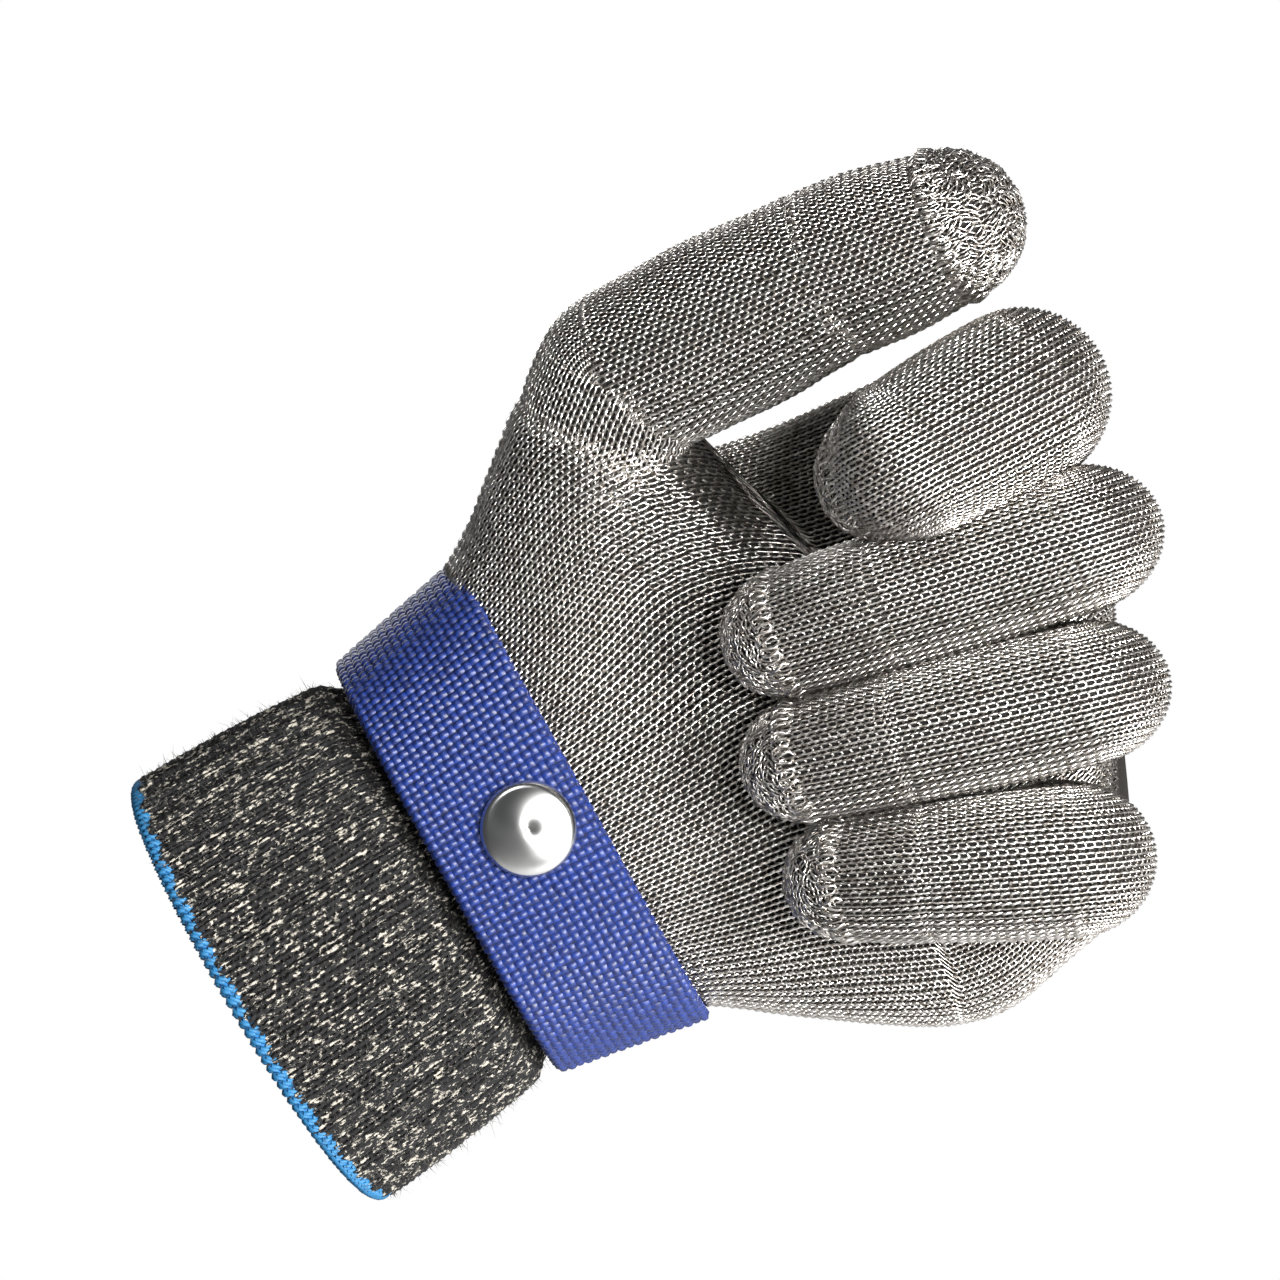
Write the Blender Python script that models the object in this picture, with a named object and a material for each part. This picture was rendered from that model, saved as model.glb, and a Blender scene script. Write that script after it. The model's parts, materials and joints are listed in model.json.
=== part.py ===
"""Cut-resistant mesh glove for the left hand, closed in a grip.

The outer glove is knitted stainless-steel wire, worn over a knitted liner glove, and held at the wrist
by a webbing strap with a press stud.  +X runs from the wrist to the knuckles, +Z points to the thumb
side and the palm faces -Y.  The origin is the middle of the cuff's mouth.  The mesh of each finger is
one knitted tube: it is split here at its knuckle lines into stiff sleeves, with a soft shell over each
bend, so that it can move.
"""

import math

import bmesh
import bpy
from mathutils import Matrix, Vector

MM = 0.001

# Driving dimensions, in millimetres
CLEARANCE = 0.3  # between pieces that nest or touch
MESH_WALL = 1.2  # steel wire fabric
LINER_WALL = 0.9
STRAP_WALL = 1.3
CUFF_WALL = 1.8

CUFF_START = -2.0  # where the mouth's plane crosses the forearm axis
MOUTH_LEAN_Z = -0.075  # the mouth's plane leans this much along X for each unit along Z
MOUTH_LEAN_Y = 0.1
CUFF_MOUTH_HALF_WIDTH = 34.5
CUFF_MOUTH_HALF_DEPTH = 25.5
CUFF_END_HALF_WIDTH = 31.6
CUFF_END_HALF_DEPTH = 24.0
CUFF_MIDDLE_Z = 0.8
CUFF_POWER = 2.15  # roundness of its section: 2 is an ellipse
HEM_SIZE = 1.8

STRAP_START = 30.5
STRAP_WIDTH = 22.5
WRIST_START_HALF_WIDTH = 29.9  # outer face of the steel mesh at the strap's first edge
WRIST_END_HALF_WIDTH = 34.2
WRIST_HALF_DEPTH = 21.8
WRIST_START_MIDDLE_Z = 3.0
WRIST_END_MIDDLE_Z = 3.7
MESH_TUCK = 1.5  # the mesh begins this far inside the strap's edge
LINER_TUCK = 6.0  # the cuff runs on under the strap by this much

PALM_LENGTH = 73.0  # strap to the middle finger's knuckle
PALM_HALF_DEPTH = 6.1 + 0.5 * WRIST_HALF_DEPTH
PALM_POWER = 2.4  # roundness of the hand's section: 2 is an ellipse

SNAP_X = 44.0
SNAP_Z = 2.8
CAP_DIAMETER = 13.5
CAP_HEIGHT = 2.1
SOCKET_DIAMETER = 9.6
STUD_DIAMETER = 8.0
HEAD_DIAMETER = 4.2
SHANK_DIAMETER = 3.0
PLATE = 0.4  # sheet that the snap's pieces are pressed from
TONGUE_LIFT = 2.1  # room for the snap between band and tongue at the middle of the palm
TONGUE_END = -84.0  # degrees round the wrist from the middle of the palm
ROOT_END = 128.0
HINGE_ROOM = 1.25  # from the tongue's hinge to the ends on either side of it
STITCH_INSET = 2.5
STITCH_WIDTH = 1.4
STITCH_HEIGHT = 0.5

KNUCKLE_GAP = 0.8  # between neighbouring fingers
INDEX_GAP = 2.0
MIDDLE_Z = 1.8  # the middle finger's second knuckle
MIDDLE_TIP_Z = 11.5
RING_SIDES = 12  # sides of every finger section
PALM_SIDES = 24
BEND_STEPS = 4
LINER_BREAK = 9.0  # the liner's fingers begin this far before the knuckles
FINGER_STUB = 26.0  # the hand's own tube before each knuckle
THUMB_STUB = 8.0
THUMB_LINER_BREAK = 3.0

# One row for each finger: its knuckle's place behind the middle one's and height above the palm's middle,
# lengths of the three phalanges, bend at the three knuckles, and half width and half depth at knuckle,
# second knuckle, end knuckle and tip.
FINGERS = {
    "index": {
        "behind": 6.0, "height": 3.0, "lengths": (42.0, 20.0, 18.0), "bends": (73.0, 84.0, 76.0),
        "sizes": ((10.2, 10.8), (10.3, 10.6), (9.3, 9.6), (8.3, 8.6)),
    },
    "middle": {
        "behind": 0.0, "height": 4.0, "lengths": (44.0, 28.0, 24.5), "bends": (85.0, 104.0, 11.0),
        "sizes": ((9.3, 10.6), (9.1, 10.1), (8.3, 9.2), (7.6, 8.2)),
    },
    "ring": {
        "behind": 8.8, "height": 2.3, "lengths": (41.0, 26.0, 24.0), "bends": (85.0, 103.0, 12.0),
        "sizes": ((9.0, 10.5), (8.9, 10.0), (8.1, 9.1), (7.3, 8.0)),
    },
    "little": {
        "behind": 20.5, "height": -1.8, "lengths": (34.0, 20.0, 21.0), "bends": (85.0, 101.0, 14.0),
        "sizes": ((8.8, 10.0), (9.0, 9.6), (8.2, 8.8), (7.3, 7.8)),
    },
}

# The thumb: its root, knuckle, end knuckle and tip, each on from the strap's edge along X; then its section at
# each point and the ranges of its joints
THUMB_POINTS = ((15.5, -11.7, 36.7), (33.0, -18.0, 51.5), (64.0, -27.0, 50.0), (93.0, -33.0, 45.8))
THUMB_SIZES = ((14.0, 14.4), (12.0, 12.4), (11.2, 11.4), (9.6, 9.8))
THUMB_SWING = 20.0
THUMB_TIGHTER = 7.0  # the end knuckle can still close by this much

# The hand's section along its length: place from strap (0) to palm end (1), then ulnar edge and thumb edge
HAND_OUTLINE = ((0.30, -37.5, 42.5), (0.62, -44.5, 39.5), (0.86, -49.0, 35.5), (1.0, -47.5, 33.0))
PALM_END_LEAN = 0.26  # the palm's end leans this much along X for each unit along Z
PALM_END_BACK = 22.5  # from the middle knuckle back to the palm's end, at the forearm axis
PALM_END_HALF_DEPTH = PALM_HALF_DEPTH - 3.0

COLOURS = {
    "steel mesh": ((0.42, 0.41, 0.39), 0.35, 1.0),
    "polished steel": ((0.75, 0.75, 0.75), 0.15, 1.0),
    "knitted liner": ((0.03, 0.03, 0.035), 0.9, 0.0),
    "ribbed cuff": ((0.06, 0.06, 0.06), 0.95, 0.0),
    "overlock thread": ((0.05, 0.25, 0.55), 0.8, 0.0),
    "blue webbing": ((0.02, 0.06, 0.45), 0.6, 0.0),
    "blue thread": ((0.02, 0.05, 0.35), 0.7, 0.0),
}

STRAP_END = STRAP_START + STRAP_WIDTH
KNUCKLE_X = STRAP_END + PALM_LENGTH
LINER_OFFSET = MESH_WALL + CLEARANCE
BORE_OFFSET = LINER_OFFSET + LINER_WALL


def clear_scene():
    for item in list(bpy.data.objects):
        bpy.data.objects.remove(item, do_unlink=True)


def material(name):
    found = bpy.data.materials.get(name)
    if found:
        return found
    colour, roughness, metallic = COLOURS[name]
    made = bpy.data.materials.new(name)
    made.use_nodes = True
    shader = made.node_tree.nodes["Principled BSDF"]
    shader.inputs["Base Color"].default_value = (*colour, 1.0)
    shader.inputs["Roughness"].default_value = roughness
    shader.inputs["Metallic"].default_value = metallic
    return made


def new_object(name, bm, finish, smooth_angle=40.0):
    """An object in millimetres turned to metres, closed, facing out and shaded smooth."""
    bmesh.ops.remove_doubles(bm, verts=bm.verts, dist=0.001)
    bmesh.ops.dissolve_degenerate(bm, edges=bm.edges, dist=0.001)
    bmesh.ops.recalc_face_normals(bm, faces=bm.faces)
    bmesh.ops.scale(bm, verts=bm.verts, vec=(MM, MM, MM))
    mesh = bpy.data.meshes.new(name)
    bm.to_mesh(mesh)
    bm.free()
    mesh.shade_smooth()
    mesh.set_sharp_from_angle(angle=math.radians(smooth_angle))
    made = bpy.data.objects.new(name, mesh)
    made.data.materials.append(material(finish))
    bpy.context.scene.collection.objects.link(made)
    return made


def combine(target, tool, operation):
    """Joins tool to target or cuts it away, and removes the tool."""
    step = target.modifiers.new(operation.lower(), "BOOLEAN")
    step.operation = operation
    step.solver = "EXACT"
    step.object = tool
    bpy.context.view_layer.update()
    done = bpy.data.meshes.new_from_object(target.evaluated_get(bpy.context.evaluated_depsgraph_get()))
    target.modifiers.remove(step)
    target.data = done
    bpy.data.objects.remove(tool, do_unlink=True)


def place_origin(made, pivot):
    """Puts the object's origin on a joint's axis without moving its mesh."""
    place = Vector(pivot) * MM
    made.data.transform(Matrix.Translation(-place))
    made.location = place


def skin(bm, rings, tip=None):
    """Quads between neighbouring rings, and triangles to a tip; returns the rings' vertices."""
    rows = [[bm.verts.new(point) for point in ring] for ring in rings]
    for first, second in zip(rows, rows[1:]):
        for i in range(len(first)):
            j = (i + 1) % len(first)
            bm.faces.new((first[i], first[j], second[j], second[i]))
    if tip is not None:
        pole = bm.verts.new(tip)
        for i in range(len(rows[-1])):
            j = (i + 1) % len(rows[-1])
            bm.faces.new((rows[-1][i], rows[-1][j], pole))
    return rows


def join_rims(bm, first, second):
    for i in range(len(first)):
        j = (i + 1) % len(first)
        bm.faces.new((first[i], first[j], second[j], second[i]))


def hollow(name, outer, inner, finish, tips=(None, None)):
    """A tube from its outer and inner rings; with tips it is closed at its far end, like a thimble."""
    bm = bmesh.new()
    outside = skin(bm, outer, tips[0])
    inside = skin(bm, inner, tips[1])
    join_rims(bm, outside[0], inside[0])
    if tips[0] is None:
        join_rims(bm, outside[-1], inside[-1])
    return new_object(name, bm, finish)


def solid(name, rings, finish, middles=None):
    """A solid from its rings; a folded end is closed round its middle point, so it keeps its fold."""
    bm = bmesh.new()
    rows = skin(bm, rings)
    for row, middle in zip((rows[0], rows[-1]), middles or (None, None)):
        if middle is None:
            bm.faces.new(row)
            continue
        pole = bm.verts.new(middle)
        for i in range(len(row)):
            bm.faces.new((row[i], row[(i + 1) % len(row)], pole))
    return new_object(name, bm, finish)


def turned(name, profile, centre, finish, sides=24):
    """A piece turned about an axis along -Y: profile rows are radius and height, in order."""
    bm = bmesh.new()
    rows = []
    for radius, height in profile:
        if radius == 0.0:
            rows.append([bm.verts.new((centre[0], centre[1] - height, centre[2]))])
            continue
        row = []
        for i in range(sides):
            angle = 2.0 * math.pi * i / sides
            across, up = radius * math.cos(angle), radius * math.sin(angle)
            row.append(bm.verts.new((centre[0] + across, centre[1] - height, centre[2] + up)))
        rows.append(row)
    closed = profile[0][0] > 0.0
    pairs = list(zip(rows, rows[1:] + rows[:1])) if closed else list(zip(rows, rows[1:]))
    for first, second in pairs:
        for i in range(sides):
            j = (i + 1) % sides
            corners = [first[i % len(first)], first[j % len(first)]]
            corners += [second[j % len(second)], second[i % len(second)]]
            bm.faces.new(list(dict.fromkeys(corners)))
    return new_object(name, bm, finish)


# Digits: each is a chain of straight segments.  A joint bends towards one side, where both tubes are mitred back
# by half its largest bend, and they end square on the other side, so no bend up to that makes them meet.


def angle_between(first, second):
    return first.angle(second) if first.cross(second).length > 1e-6 else 0.0


def finger(name, knuckle_z, second_z, tip_z):
    """A curled finger as joints and segments; its chain lies in one plane, square to the hinge axis."""
    row = FINGERS[name]
    totals = [math.radians(sum(row["bends"][: i + 1])) for i in range(3)]
    reach = -row["lengths"][1] * math.cos(totals[1]) - row["lengths"][2] * math.cos(totals[2])
    fan = math.asin((tip_z - second_z) / reach)
    forward = Vector((math.cos(fan), 0.0, -math.sin(fan)))
    down = Vector((0.0, -1.0, 0.0))
    axis = Vector((math.sin(fan), 0.0, math.cos(fan)))
    knuckle = Vector((KNUCKLE_X - row["behind"], row["height"], knuckle_z))
    stub_start = knuckle - forward * FINGER_STUB
    segments = [{"start": stub_start, "along": forward, "back": -down, "length": FINGER_STUB}]
    place = knuckle
    for total, length in zip(totals, row["lengths"]):
        along = math.cos(total) * forward + math.sin(total) * down
        back = math.sin(total) * forward - math.cos(total) * down
        segments.append({"start": place, "along": along, "back": back, "length": length})
        place = place + along * length
    for segment in segments:
        segment["side"] = axis
    joints = []
    for i in range(3):
        bend = math.radians(row["bends"][i])
        at = segments[i + 1]["start"]
        joints.append({"at": at, "axis": axis, "rest": bend, "most": bend, "swing": False})
    sizes = [Vector(size) for size in row["sizes"]]
    return {"name": name, "segments": segments, "joints": joints, "sizes": sizes, "break": LINER_BREAK}


def thumb():
    """The thumb: a root that swings out from the palm, then two bends in one plane."""
    points = [Vector((STRAP_END + x, y, z)) for x, y, z in THUMB_POINTS]
    first = (points[1] - points[0]).normalized()
    second = (points[2] - points[1]).normalized()
    axis = first.cross(second).normalized()
    third = points[3] - points[2]
    third = (third - axis * third.dot(axis)).normalized()
    lengths = [(points[i + 1] - points[i]).length for i in range(3)]
    segments = [{"start": points[0] - first * THUMB_STUB, "along": first, "length": THUMB_STUB}]
    place = points[0]
    for along, length in zip((first, second, third), lengths):
        segments.append({"start": place, "along": along, "length": length})
        place = place + along * length
    for segment in segments:
        segment["side"] = -axis
        segment["back"] = segment["along"].cross(axis)
    swing = math.radians(THUMB_SWING)
    bends = (angle_between(first, second), angle_between(second, third))
    joints = [{"at": points[0], "axis": axis.cross(first), "rest": 0.0, "most": swing, "swing": True}]
    for i, (bend, tighter) in enumerate(zip(bends, (0.0, math.radians(THUMB_TIGHTER)))):
        at = segments[i + 2]["start"]
        joints.append({"at": at, "axis": -axis, "rest": bend, "most": bend + tighter, "swing": False})
    return {
        "name": "thumb", "segments": segments, "joints": joints,
        "sizes": [Vector(size) for size in THUMB_SIZES], "break": THUMB_LINER_BREAK,
    }


def section(segment, size, offset):
    """Offsets from a segment's centre line to its section, walked round from its side."""
    points = []
    for i in range(RING_SIDES):
        angle = 2.0 * math.pi * i / RING_SIDES
        across = segment["side"] * (size[0] - offset) * math.cos(angle)
        points.append(across + segment["back"] * (size[1] - offset) * math.sin(angle))
    return points


def bend_side(segment, joint):
    return segment["side"] if joint["swing"] else -segment["back"]


def cut_back(segment, joint, offset_point):
    """How far a tube stops short of a joint at one point of its section."""
    depth = max(0.0, offset_point.dot(bend_side(segment, joint)))
    return CLEARANCE + depth * math.tan(joint["most"] / 2.0)


def sleeve_rings(digit, index, offset, steps=2):
    """Rings of one stiff sleeve between two joints, or from a joint to where the tip's dome begins."""
    segment = digit["segments"][index + 1]
    start_size, end_size = digit["sizes"][index], digit["sizes"][index + 1]
    last = index == 2
    rings = []
    for step in range(steps + 1):
        share = step / steps
        ring = []
        size = start_size.lerp(end_size, share)
        for point in section(segment, size, offset):
            begin = cut_back(segment, digit["joints"][index], point * (start_size[1] / size[1]))
            if last:
                end = segment["length"] - end_size[1]
            else:
                end = segment["length"] - cut_back(segment, digit["joints"][index + 1], point)
            ring.append(segment["start"] + segment["along"] * (begin + (end - begin) * share) + point)
        rings.append(ring)
    return rings


def dome_rings(digit, offset):
    """The rounded end of a finger, and the point at its very tip."""
    segment = digit["segments"][3]
    size = digit["sizes"][3]
    base = segment["start"] + segment["along"] * (segment["length"] - size[1])
    reach = size[1] - offset
    rings = []
    for angle in (math.radians(30.0), math.radians(60.0)):
        lift = segment["along"] * reach * math.sin(angle)
        rings.append([base + lift + point * math.cos(angle) for point in section(segment, size, offset)])
    return rings, base + segment["along"] * reach


def mesh_sleeve(digit, index, part):
    name = f"mesh_{digit['name']}_{part}"
    outer = sleeve_rings(digit, index, 0.0)
    inner = sleeve_rings(digit, index, MESH_WALL)
    tips = (None, None)
    if index == 2:
        outer_dome, outer_tip = dome_rings(digit, 0.0)
        inner_dome, inner_tip = dome_rings(digit, MESH_WALL)
        outer, inner, tips = outer + outer_dome, inner + inner_dome, (outer_tip, inner_tip)
    made = hollow(name, outer, inner, "steel mesh", tips)
    place_origin(made, digit["joints"][index]["at"])
    return made


def half_section(segment, size, offset, facing):
    """The part of a section on one side of the joint's axis, ending a little short of the axis."""
    points = section(segment, size, offset)
    first = next(i for i in range(RING_SIDES) if points[i - 1].dot(facing) < 0.01 < points[i].dot(facing))
    walk = [points[(first + i) % RING_SIDES] for i in range(-1, RING_SIDES // 2)]
    walk[0] = walk[0].lerp(walk[1], 0.4)
    walk[-1] = walk[-1].lerp(walk[-2], 0.4)
    return walk


def bend_shell(digit, index, part):
    """The soft shell that closes a bend: over a curled knuckle's back, or in a straight one's notch."""
    joint = digit["joints"][index]
    segment = digit["segments"][index]
    size = digit["sizes"][index]
    curled = joint["rest"] > 0.0
    facing = segment["back"] if curled else bend_side(segment, joint)
    layers = []
    for offset in (0.0, MESH_WALL):
        half = half_section(segment, size, offset, facing)
        rows = []
        for step in range(BEND_STEPS + 1):
            share = step / BEND_STEPS
            if curled:
                turn = Matrix.Rotation(-joint["rest"] * share, 3, joint["axis"])
                rows.append([joint["at"] + turn @ point for point in half])
            else:
                slope = math.tan(joint["most"] * (share - 0.5))
                rows.append([joint["at"] + p + segment["along"] * p.dot(facing) * slope for p in half])
        layers.append(rows)
    bm = bmesh.new()
    outer, inner = [[[bm.verts.new(p) for p in row] for row in layer] for layer in layers]
    for layer in (outer, inner):
        for first, second in zip(layer, layer[1:]):
            for i in range(len(first) - 1):
                bm.faces.new((first[i], first[i + 1], second[i + 1], second[i]))
    for row, other in ((outer[0], inner[0]), (outer[-1], inner[-1])):
        for i in range(len(row) - 1):
            bm.faces.new((row[i], row[i + 1], other[i + 1], other[i]))
    for edge in (0, -1):
        for i in range(BEND_STEPS):
            bm.faces.new((outer[i][edge], outer[i + 1][edge], inner[i + 1][edge], inner[i][edge]))
    made = new_object(f"mesh_{digit['name']}_{part}", bm, "steel mesh")
    place_origin(made, joint["at"])
    return made


def liner_rings(digit, offset):
    """Rings of the continuous liner finger, mitred inside each bend and fanned out over its back."""
    stub = digit["segments"][0]
    size = digit["sizes"][0]
    start = stub["start"] + stub["along"] * (stub["length"] - digit["break"])
    rings = [[start + point for point in section(stub, size, offset)]]
    for index, joint in enumerate(digit["joints"]):
        segment = digit["segments"][index]
        points = section(segment, digit["sizes"][index], offset)
        for step in range(BEND_STEPS + 1 if joint["rest"] > 0.0 else 1):
            turn = Matrix.Rotation(-joint["rest"] * step / BEND_STEPS, 3, joint["axis"])
            ring = []
            for point in points:
                depth = max(0.0, -point.dot(segment["back"]))
                if depth > 0.01 and not joint["swing"]:
                    back_off = depth * math.tan(joint["rest"] / 2.0)
                    ring.append(joint["at"] + point - segment["along"] * back_off)
                else:
                    ring.append(joint["at"] + turn @ point)
            rings.append(ring)
    segment = digit["segments"][3]
    size = digit["sizes"][3]
    end = segment["start"] + segment["along"] * (segment["length"] - size[1])
    rings.append([end + point for point in section(segment, size, offset)])
    dome, tip = dome_rings(digit, offset)
    return rings + dome, tip


def liner_finger(digit):
    outer, outer_tip = liner_rings(digit, LINER_OFFSET)
    inner, inner_tip = liner_rings(digit, BORE_OFFSET)
    return hollow(f"liner_{digit['name']}", outer, inner, "knitted liner", (outer_tip, inner_tip))


def tip_seam(digit):
    """The ring of wire that gathers the knitted cap shut, round the finger where its dome begins."""
    segment = digit["segments"][3]
    size = digit["sizes"][3]
    base = segment["start"] + segment["along"] * (segment["length"] - size[1])
    rings = []
    for along, out in ((-0.7, CLEARANCE), (-0.7, 1.1), (0.7, 1.1), (0.7, CLEARANCE)):
        grown = section(segment, size, -out - 0.12)
        rings.append([base + segment["along"] * along + point for point in grown])
    bm = bmesh.new()
    rows = skin(bm, rings)
    join_rims(bm, rows[0], rows[-1])
    made = new_object(f"tip_seam_{digit['name']}", bm, "steel mesh")
    place_origin(made, digit["joints"][2]["at"])
    return made


# The hand: a lofted body with a short tube for each digit, hollowed the same way


def oval(x, middle_y, middle_z, half_y, half_z, power, sides=PALM_SIDES, lean=0.0, lean_y=0.0):
    """A rounded section across X, walked round from the palm; its X can lean with height."""
    ring = []
    for i in range(sides):
        angle = 2.0 * math.pi * i / sides
        cos, sin = math.cos(angle), math.sin(angle)
        y = middle_y - half_y * math.copysign(abs(cos) ** (2.0 / power), cos)
        z = middle_z + half_z * math.copysign(abs(sin) ** (2.0 / power), sin)
        ring.append(Vector((x + lean * z + lean_y * y, y, z)))
    return ring


def wrist_section(x, grow, power=PALM_POWER, grow_y=None):
    share = (x - STRAP_START) / STRAP_WIDTH
    half_z = WRIST_START_HALF_WIDTH + (WRIST_END_HALF_WIDTH - WRIST_START_HALF_WIDTH) * share
    middle = WRIST_START_MIDDLE_Z + (WRIST_END_MIDDLE_Z - WRIST_START_MIDDLE_Z) * share
    half_y = WRIST_HALF_DEPTH + (grow if grow_y is None else grow_y)
    return oval(x, 0.0, middle, half_y, half_z + grow, power)


def palm_rings(offset, start):
    """The hand's body, shrunk by offset, from start to its closed end behind the knuckles."""
    rings = [wrist_section(start, -offset), wrist_section(STRAP_END, -offset)]
    end = KNUCKLE_X - PALM_END_BACK
    for place, low, high in HAND_OUTLINE:
        x = STRAP_END + (end - STRAP_END) * place
        half_y = PALM_HALF_DEPTH + (PALM_END_HALF_DEPTH - PALM_HALF_DEPTH) * place**3
        half_y += (WRIST_HALF_DEPTH - PALM_HALF_DEPTH) * (1.0 - place) ** 2
        stop = offset if place == 1.0 else 0.0
        ring = oval(
            x - stop, 0.0, (low + high) / 2.0, half_y - offset, (high - low) / 2.0 - offset, PALM_POWER,
            lean=PALM_END_LEAN * place,
        )
        rings.append(ring)
    return rings


def stub_tube(digit, offset, end):
    """The hand's tube for one digit: it ends before the liner's finger, in its mitre, or past the joint."""
    segment = digit["segments"][0]
    size = digit["sizes"][0]
    rings = [[], []]
    end = {"liner": -digit["break"] - CLEARANCE, "mitre": 0.0, "through": 6.0}[end]
    begin = segment["start"] + segment["along"] * offset
    for point in section(segment, size, offset):
        rings[0].append(begin + point)
        stop = segment["length"] + end
        if end == 0.0:
            stop -= cut_back(segment, digit["joints"][0], point)
        rings[1].append(segment["start"] + segment["along"] * stop + point)
    reach = segment["length"] + (end or -CLEARANCE)
    return solid("stub", rings, "steel mesh", (begin, segment["start"] + segment["along"] * reach))


def hand_volume(digits, offset, start, end, name, finish):
    volume = solid(name, palm_rings(offset, start), finish)
    for digit in digits:
        combine(volume, stub_tube(digit, offset, end), "UNION")
    return volume


def thumb_way(digit, offset, swings, start):
    """The room the thumb's root takes as it swings; its near end is at start, or clears the soft bend."""
    segment = digit["segments"][1]
    joint = digit["joints"][0]
    bm = bmesh.new()
    for swing in swings:
        turn = Matrix.Rotation(swing, 3, joint["axis"])
        for point in section(segment, digit["sizes"][0], offset):
            begin = start or (CLEARANCE if swing else -cut_back(segment, joint, point) - 0.05)
            for reach in (begin, segment["length"] + THUMB_STUB):
                bm.verts.new(joint["at"] + turn @ (segment["along"] * reach + point))
    bmesh.ops.convex_hull(bm, input=bm.verts)
    loose = [vert for vert in bm.verts if not vert.link_faces]
    bmesh.ops.delete(bm, geom=loose, context="VERTS")
    return new_object("way", bm, "steel mesh")


def hand_shell(digits, name, finish, outer, inner, start, end, ways):
    shell = hand_volume(digits, outer, start, end, name, finish)
    for way in ways:
        combine(shell, way, "DIFFERENCE")
    combine(shell, hand_volume(digits, inner, start - 2.0, "through", "bore", finish), "DIFFERENCE")
    shell.data.shade_smooth()
    shell.data.set_sharp_from_angle(angle=math.radians(40.0))
    return shell


# Cuff, hem, strap and snap


def cuff_rings(offset):
    start_z, end_z = CUFF_MOUTH_HALF_WIDTH - offset, CUFF_END_HALF_WIDTH - offset
    start_y, end_y = CUFF_MOUTH_HALF_DEPTH - offset, CUFF_END_HALF_DEPTH - offset
    end = STRAP_START - 2.0
    rings = []
    for share in (0.0, 0.15, 0.5, 0.85, 1.0):
        half_z = start_z + (end_z - start_z) * share
        half_y = start_y + (end_y - start_y) * share
        if 0.1 < share < 0.9:
            half_z += 0.4
            half_y += 0.4
        x = CUFF_START + (end - CUFF_START) * share
        lean = MOUTH_LEAN_Z * (1.0 - share)
        middle = CUFF_MIDDLE_Z + (WRIST_START_MIDDLE_Z - CUFF_MIDDLE_Z) * share
        lean_y = MOUTH_LEAN_Y * (1.0 - share)
        rings.append(oval(x, 0.0, middle, half_y, half_z, CUFF_POWER, lean=lean, lean_y=lean_y))
    neck = LINER_OFFSET + (offset / CUFF_WALL) * LINER_WALL
    for x in (STRAP_START - 0.6, STRAP_START + LINER_TUCK):
        rings.append(wrist_section(x, -neck))
    return rings


def hem():
    """The overlocked edge round the mouth: a rounded cord of thread that wraps the cuff's end."""
    bm = bmesh.new()
    rows = []
    middle_y = CUFF_MOUTH_HALF_DEPTH - CUFF_WALL / 2.0
    middle_z = CUFF_MOUTH_HALF_WIDTH - CUFF_WALL / 2.0
    for i in range(8):
        angle = 2.0 * math.pi * i / 8
        out = HEM_SIZE * 0.62 * math.cos(angle)
        x = CUFF_START - CLEARANCE - HEM_SIZE / 2.0 + HEM_SIZE / 2.0 * math.sin(angle)
        ring = oval(
            x, 0.0, CUFF_MIDDLE_Z, middle_y + out, middle_z + out, CUFF_POWER,
            lean=MOUTH_LEAN_Z, lean_y=MOUTH_LEAN_Y,
        )
        rows.append([bm.verts.new(point) for point in ring])
    for i in range(8):
        join_rims(bm, rows[i], rows[(i + 1) % 8])
    return new_object("cuff_hem", bm, "overlock thread")


BAND_INNER = CLEARANCE
BAND_OUTER = BAND_INNER + STRAP_WALL
TONGUE_INNER = BAND_OUTER + CLEARANCE
TONGUE_OUTER = TONGUE_INNER + STRAP_WALL


def strap_band():
    rings = []
    for grow in (BAND_INNER, BAND_OUTER):
        rings.append([wrist_section(x, grow) for x in (STRAP_START, STRAP_END)])
    return hollow("strap_band", rings[1], rings[0], "blue webbing")


def wrist_point(x, degrees, grow, lift):
    """A point round the wrist: 0 is the middle of the palm and 90 the thumb side."""
    share = (x - STRAP_START) / STRAP_WIDTH
    half_z = WRIST_START_HALF_WIDTH + (WRIST_END_HALF_WIDTH - WRIST_START_HALF_WIDTH) * share + grow
    middle = WRIST_START_MIDDLE_Z + (WRIST_END_MIDDLE_Z - WRIST_START_MIDDLE_Z) * share
    cos, sin = math.cos(math.radians(degrees)), math.sin(math.radians(degrees))
    half_y = WRIST_HALF_DEPTH + grow + (lift if cos > 0.0 else 0.0)
    y = -half_y * math.copysign(abs(cos) ** (2.0 / PALM_POWER), cos)
    z = middle + half_z * math.copysign(abs(sin) ** (2.0 / PALM_POWER), sin)
    return Vector((x, y, z))


def strap_piece(name, first, last, steps, lift):
    """A length of webbing laid over the band between two angles round the wrist."""
    bm = bmesh.new()
    rows = []
    for step in range(steps + 1):
        degrees = first + (last - first) * step / steps
        corners = ((STRAP_START, TONGUE_INNER), (STRAP_END, TONGUE_INNER))
        corners += ((STRAP_END, TONGUE_OUTER), (STRAP_START, TONGUE_OUTER))
        row = [bm.verts.new(wrist_point(x, degrees, grow, lift)) for x, grow in corners]
        rows.append(row)
    for one, two in zip(rows, rows[1:]):
        join_rims(bm, one, two)
    bm.faces.new(rows[0])
    bm.faces.new(rows[-1])
    return new_object(name, bm, "blue webbing")


def tongue_hinge():
    """The hinge line: along the strap's thumb side, just outside the webbing's middle."""
    ends = []
    for x in (STRAP_START, STRAP_END):
        ends.append(wrist_point(x, 90.0, (TONGUE_INNER + TONGUE_OUTER) / 2.0 + 0.3, 0.0))
    return ends


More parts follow.
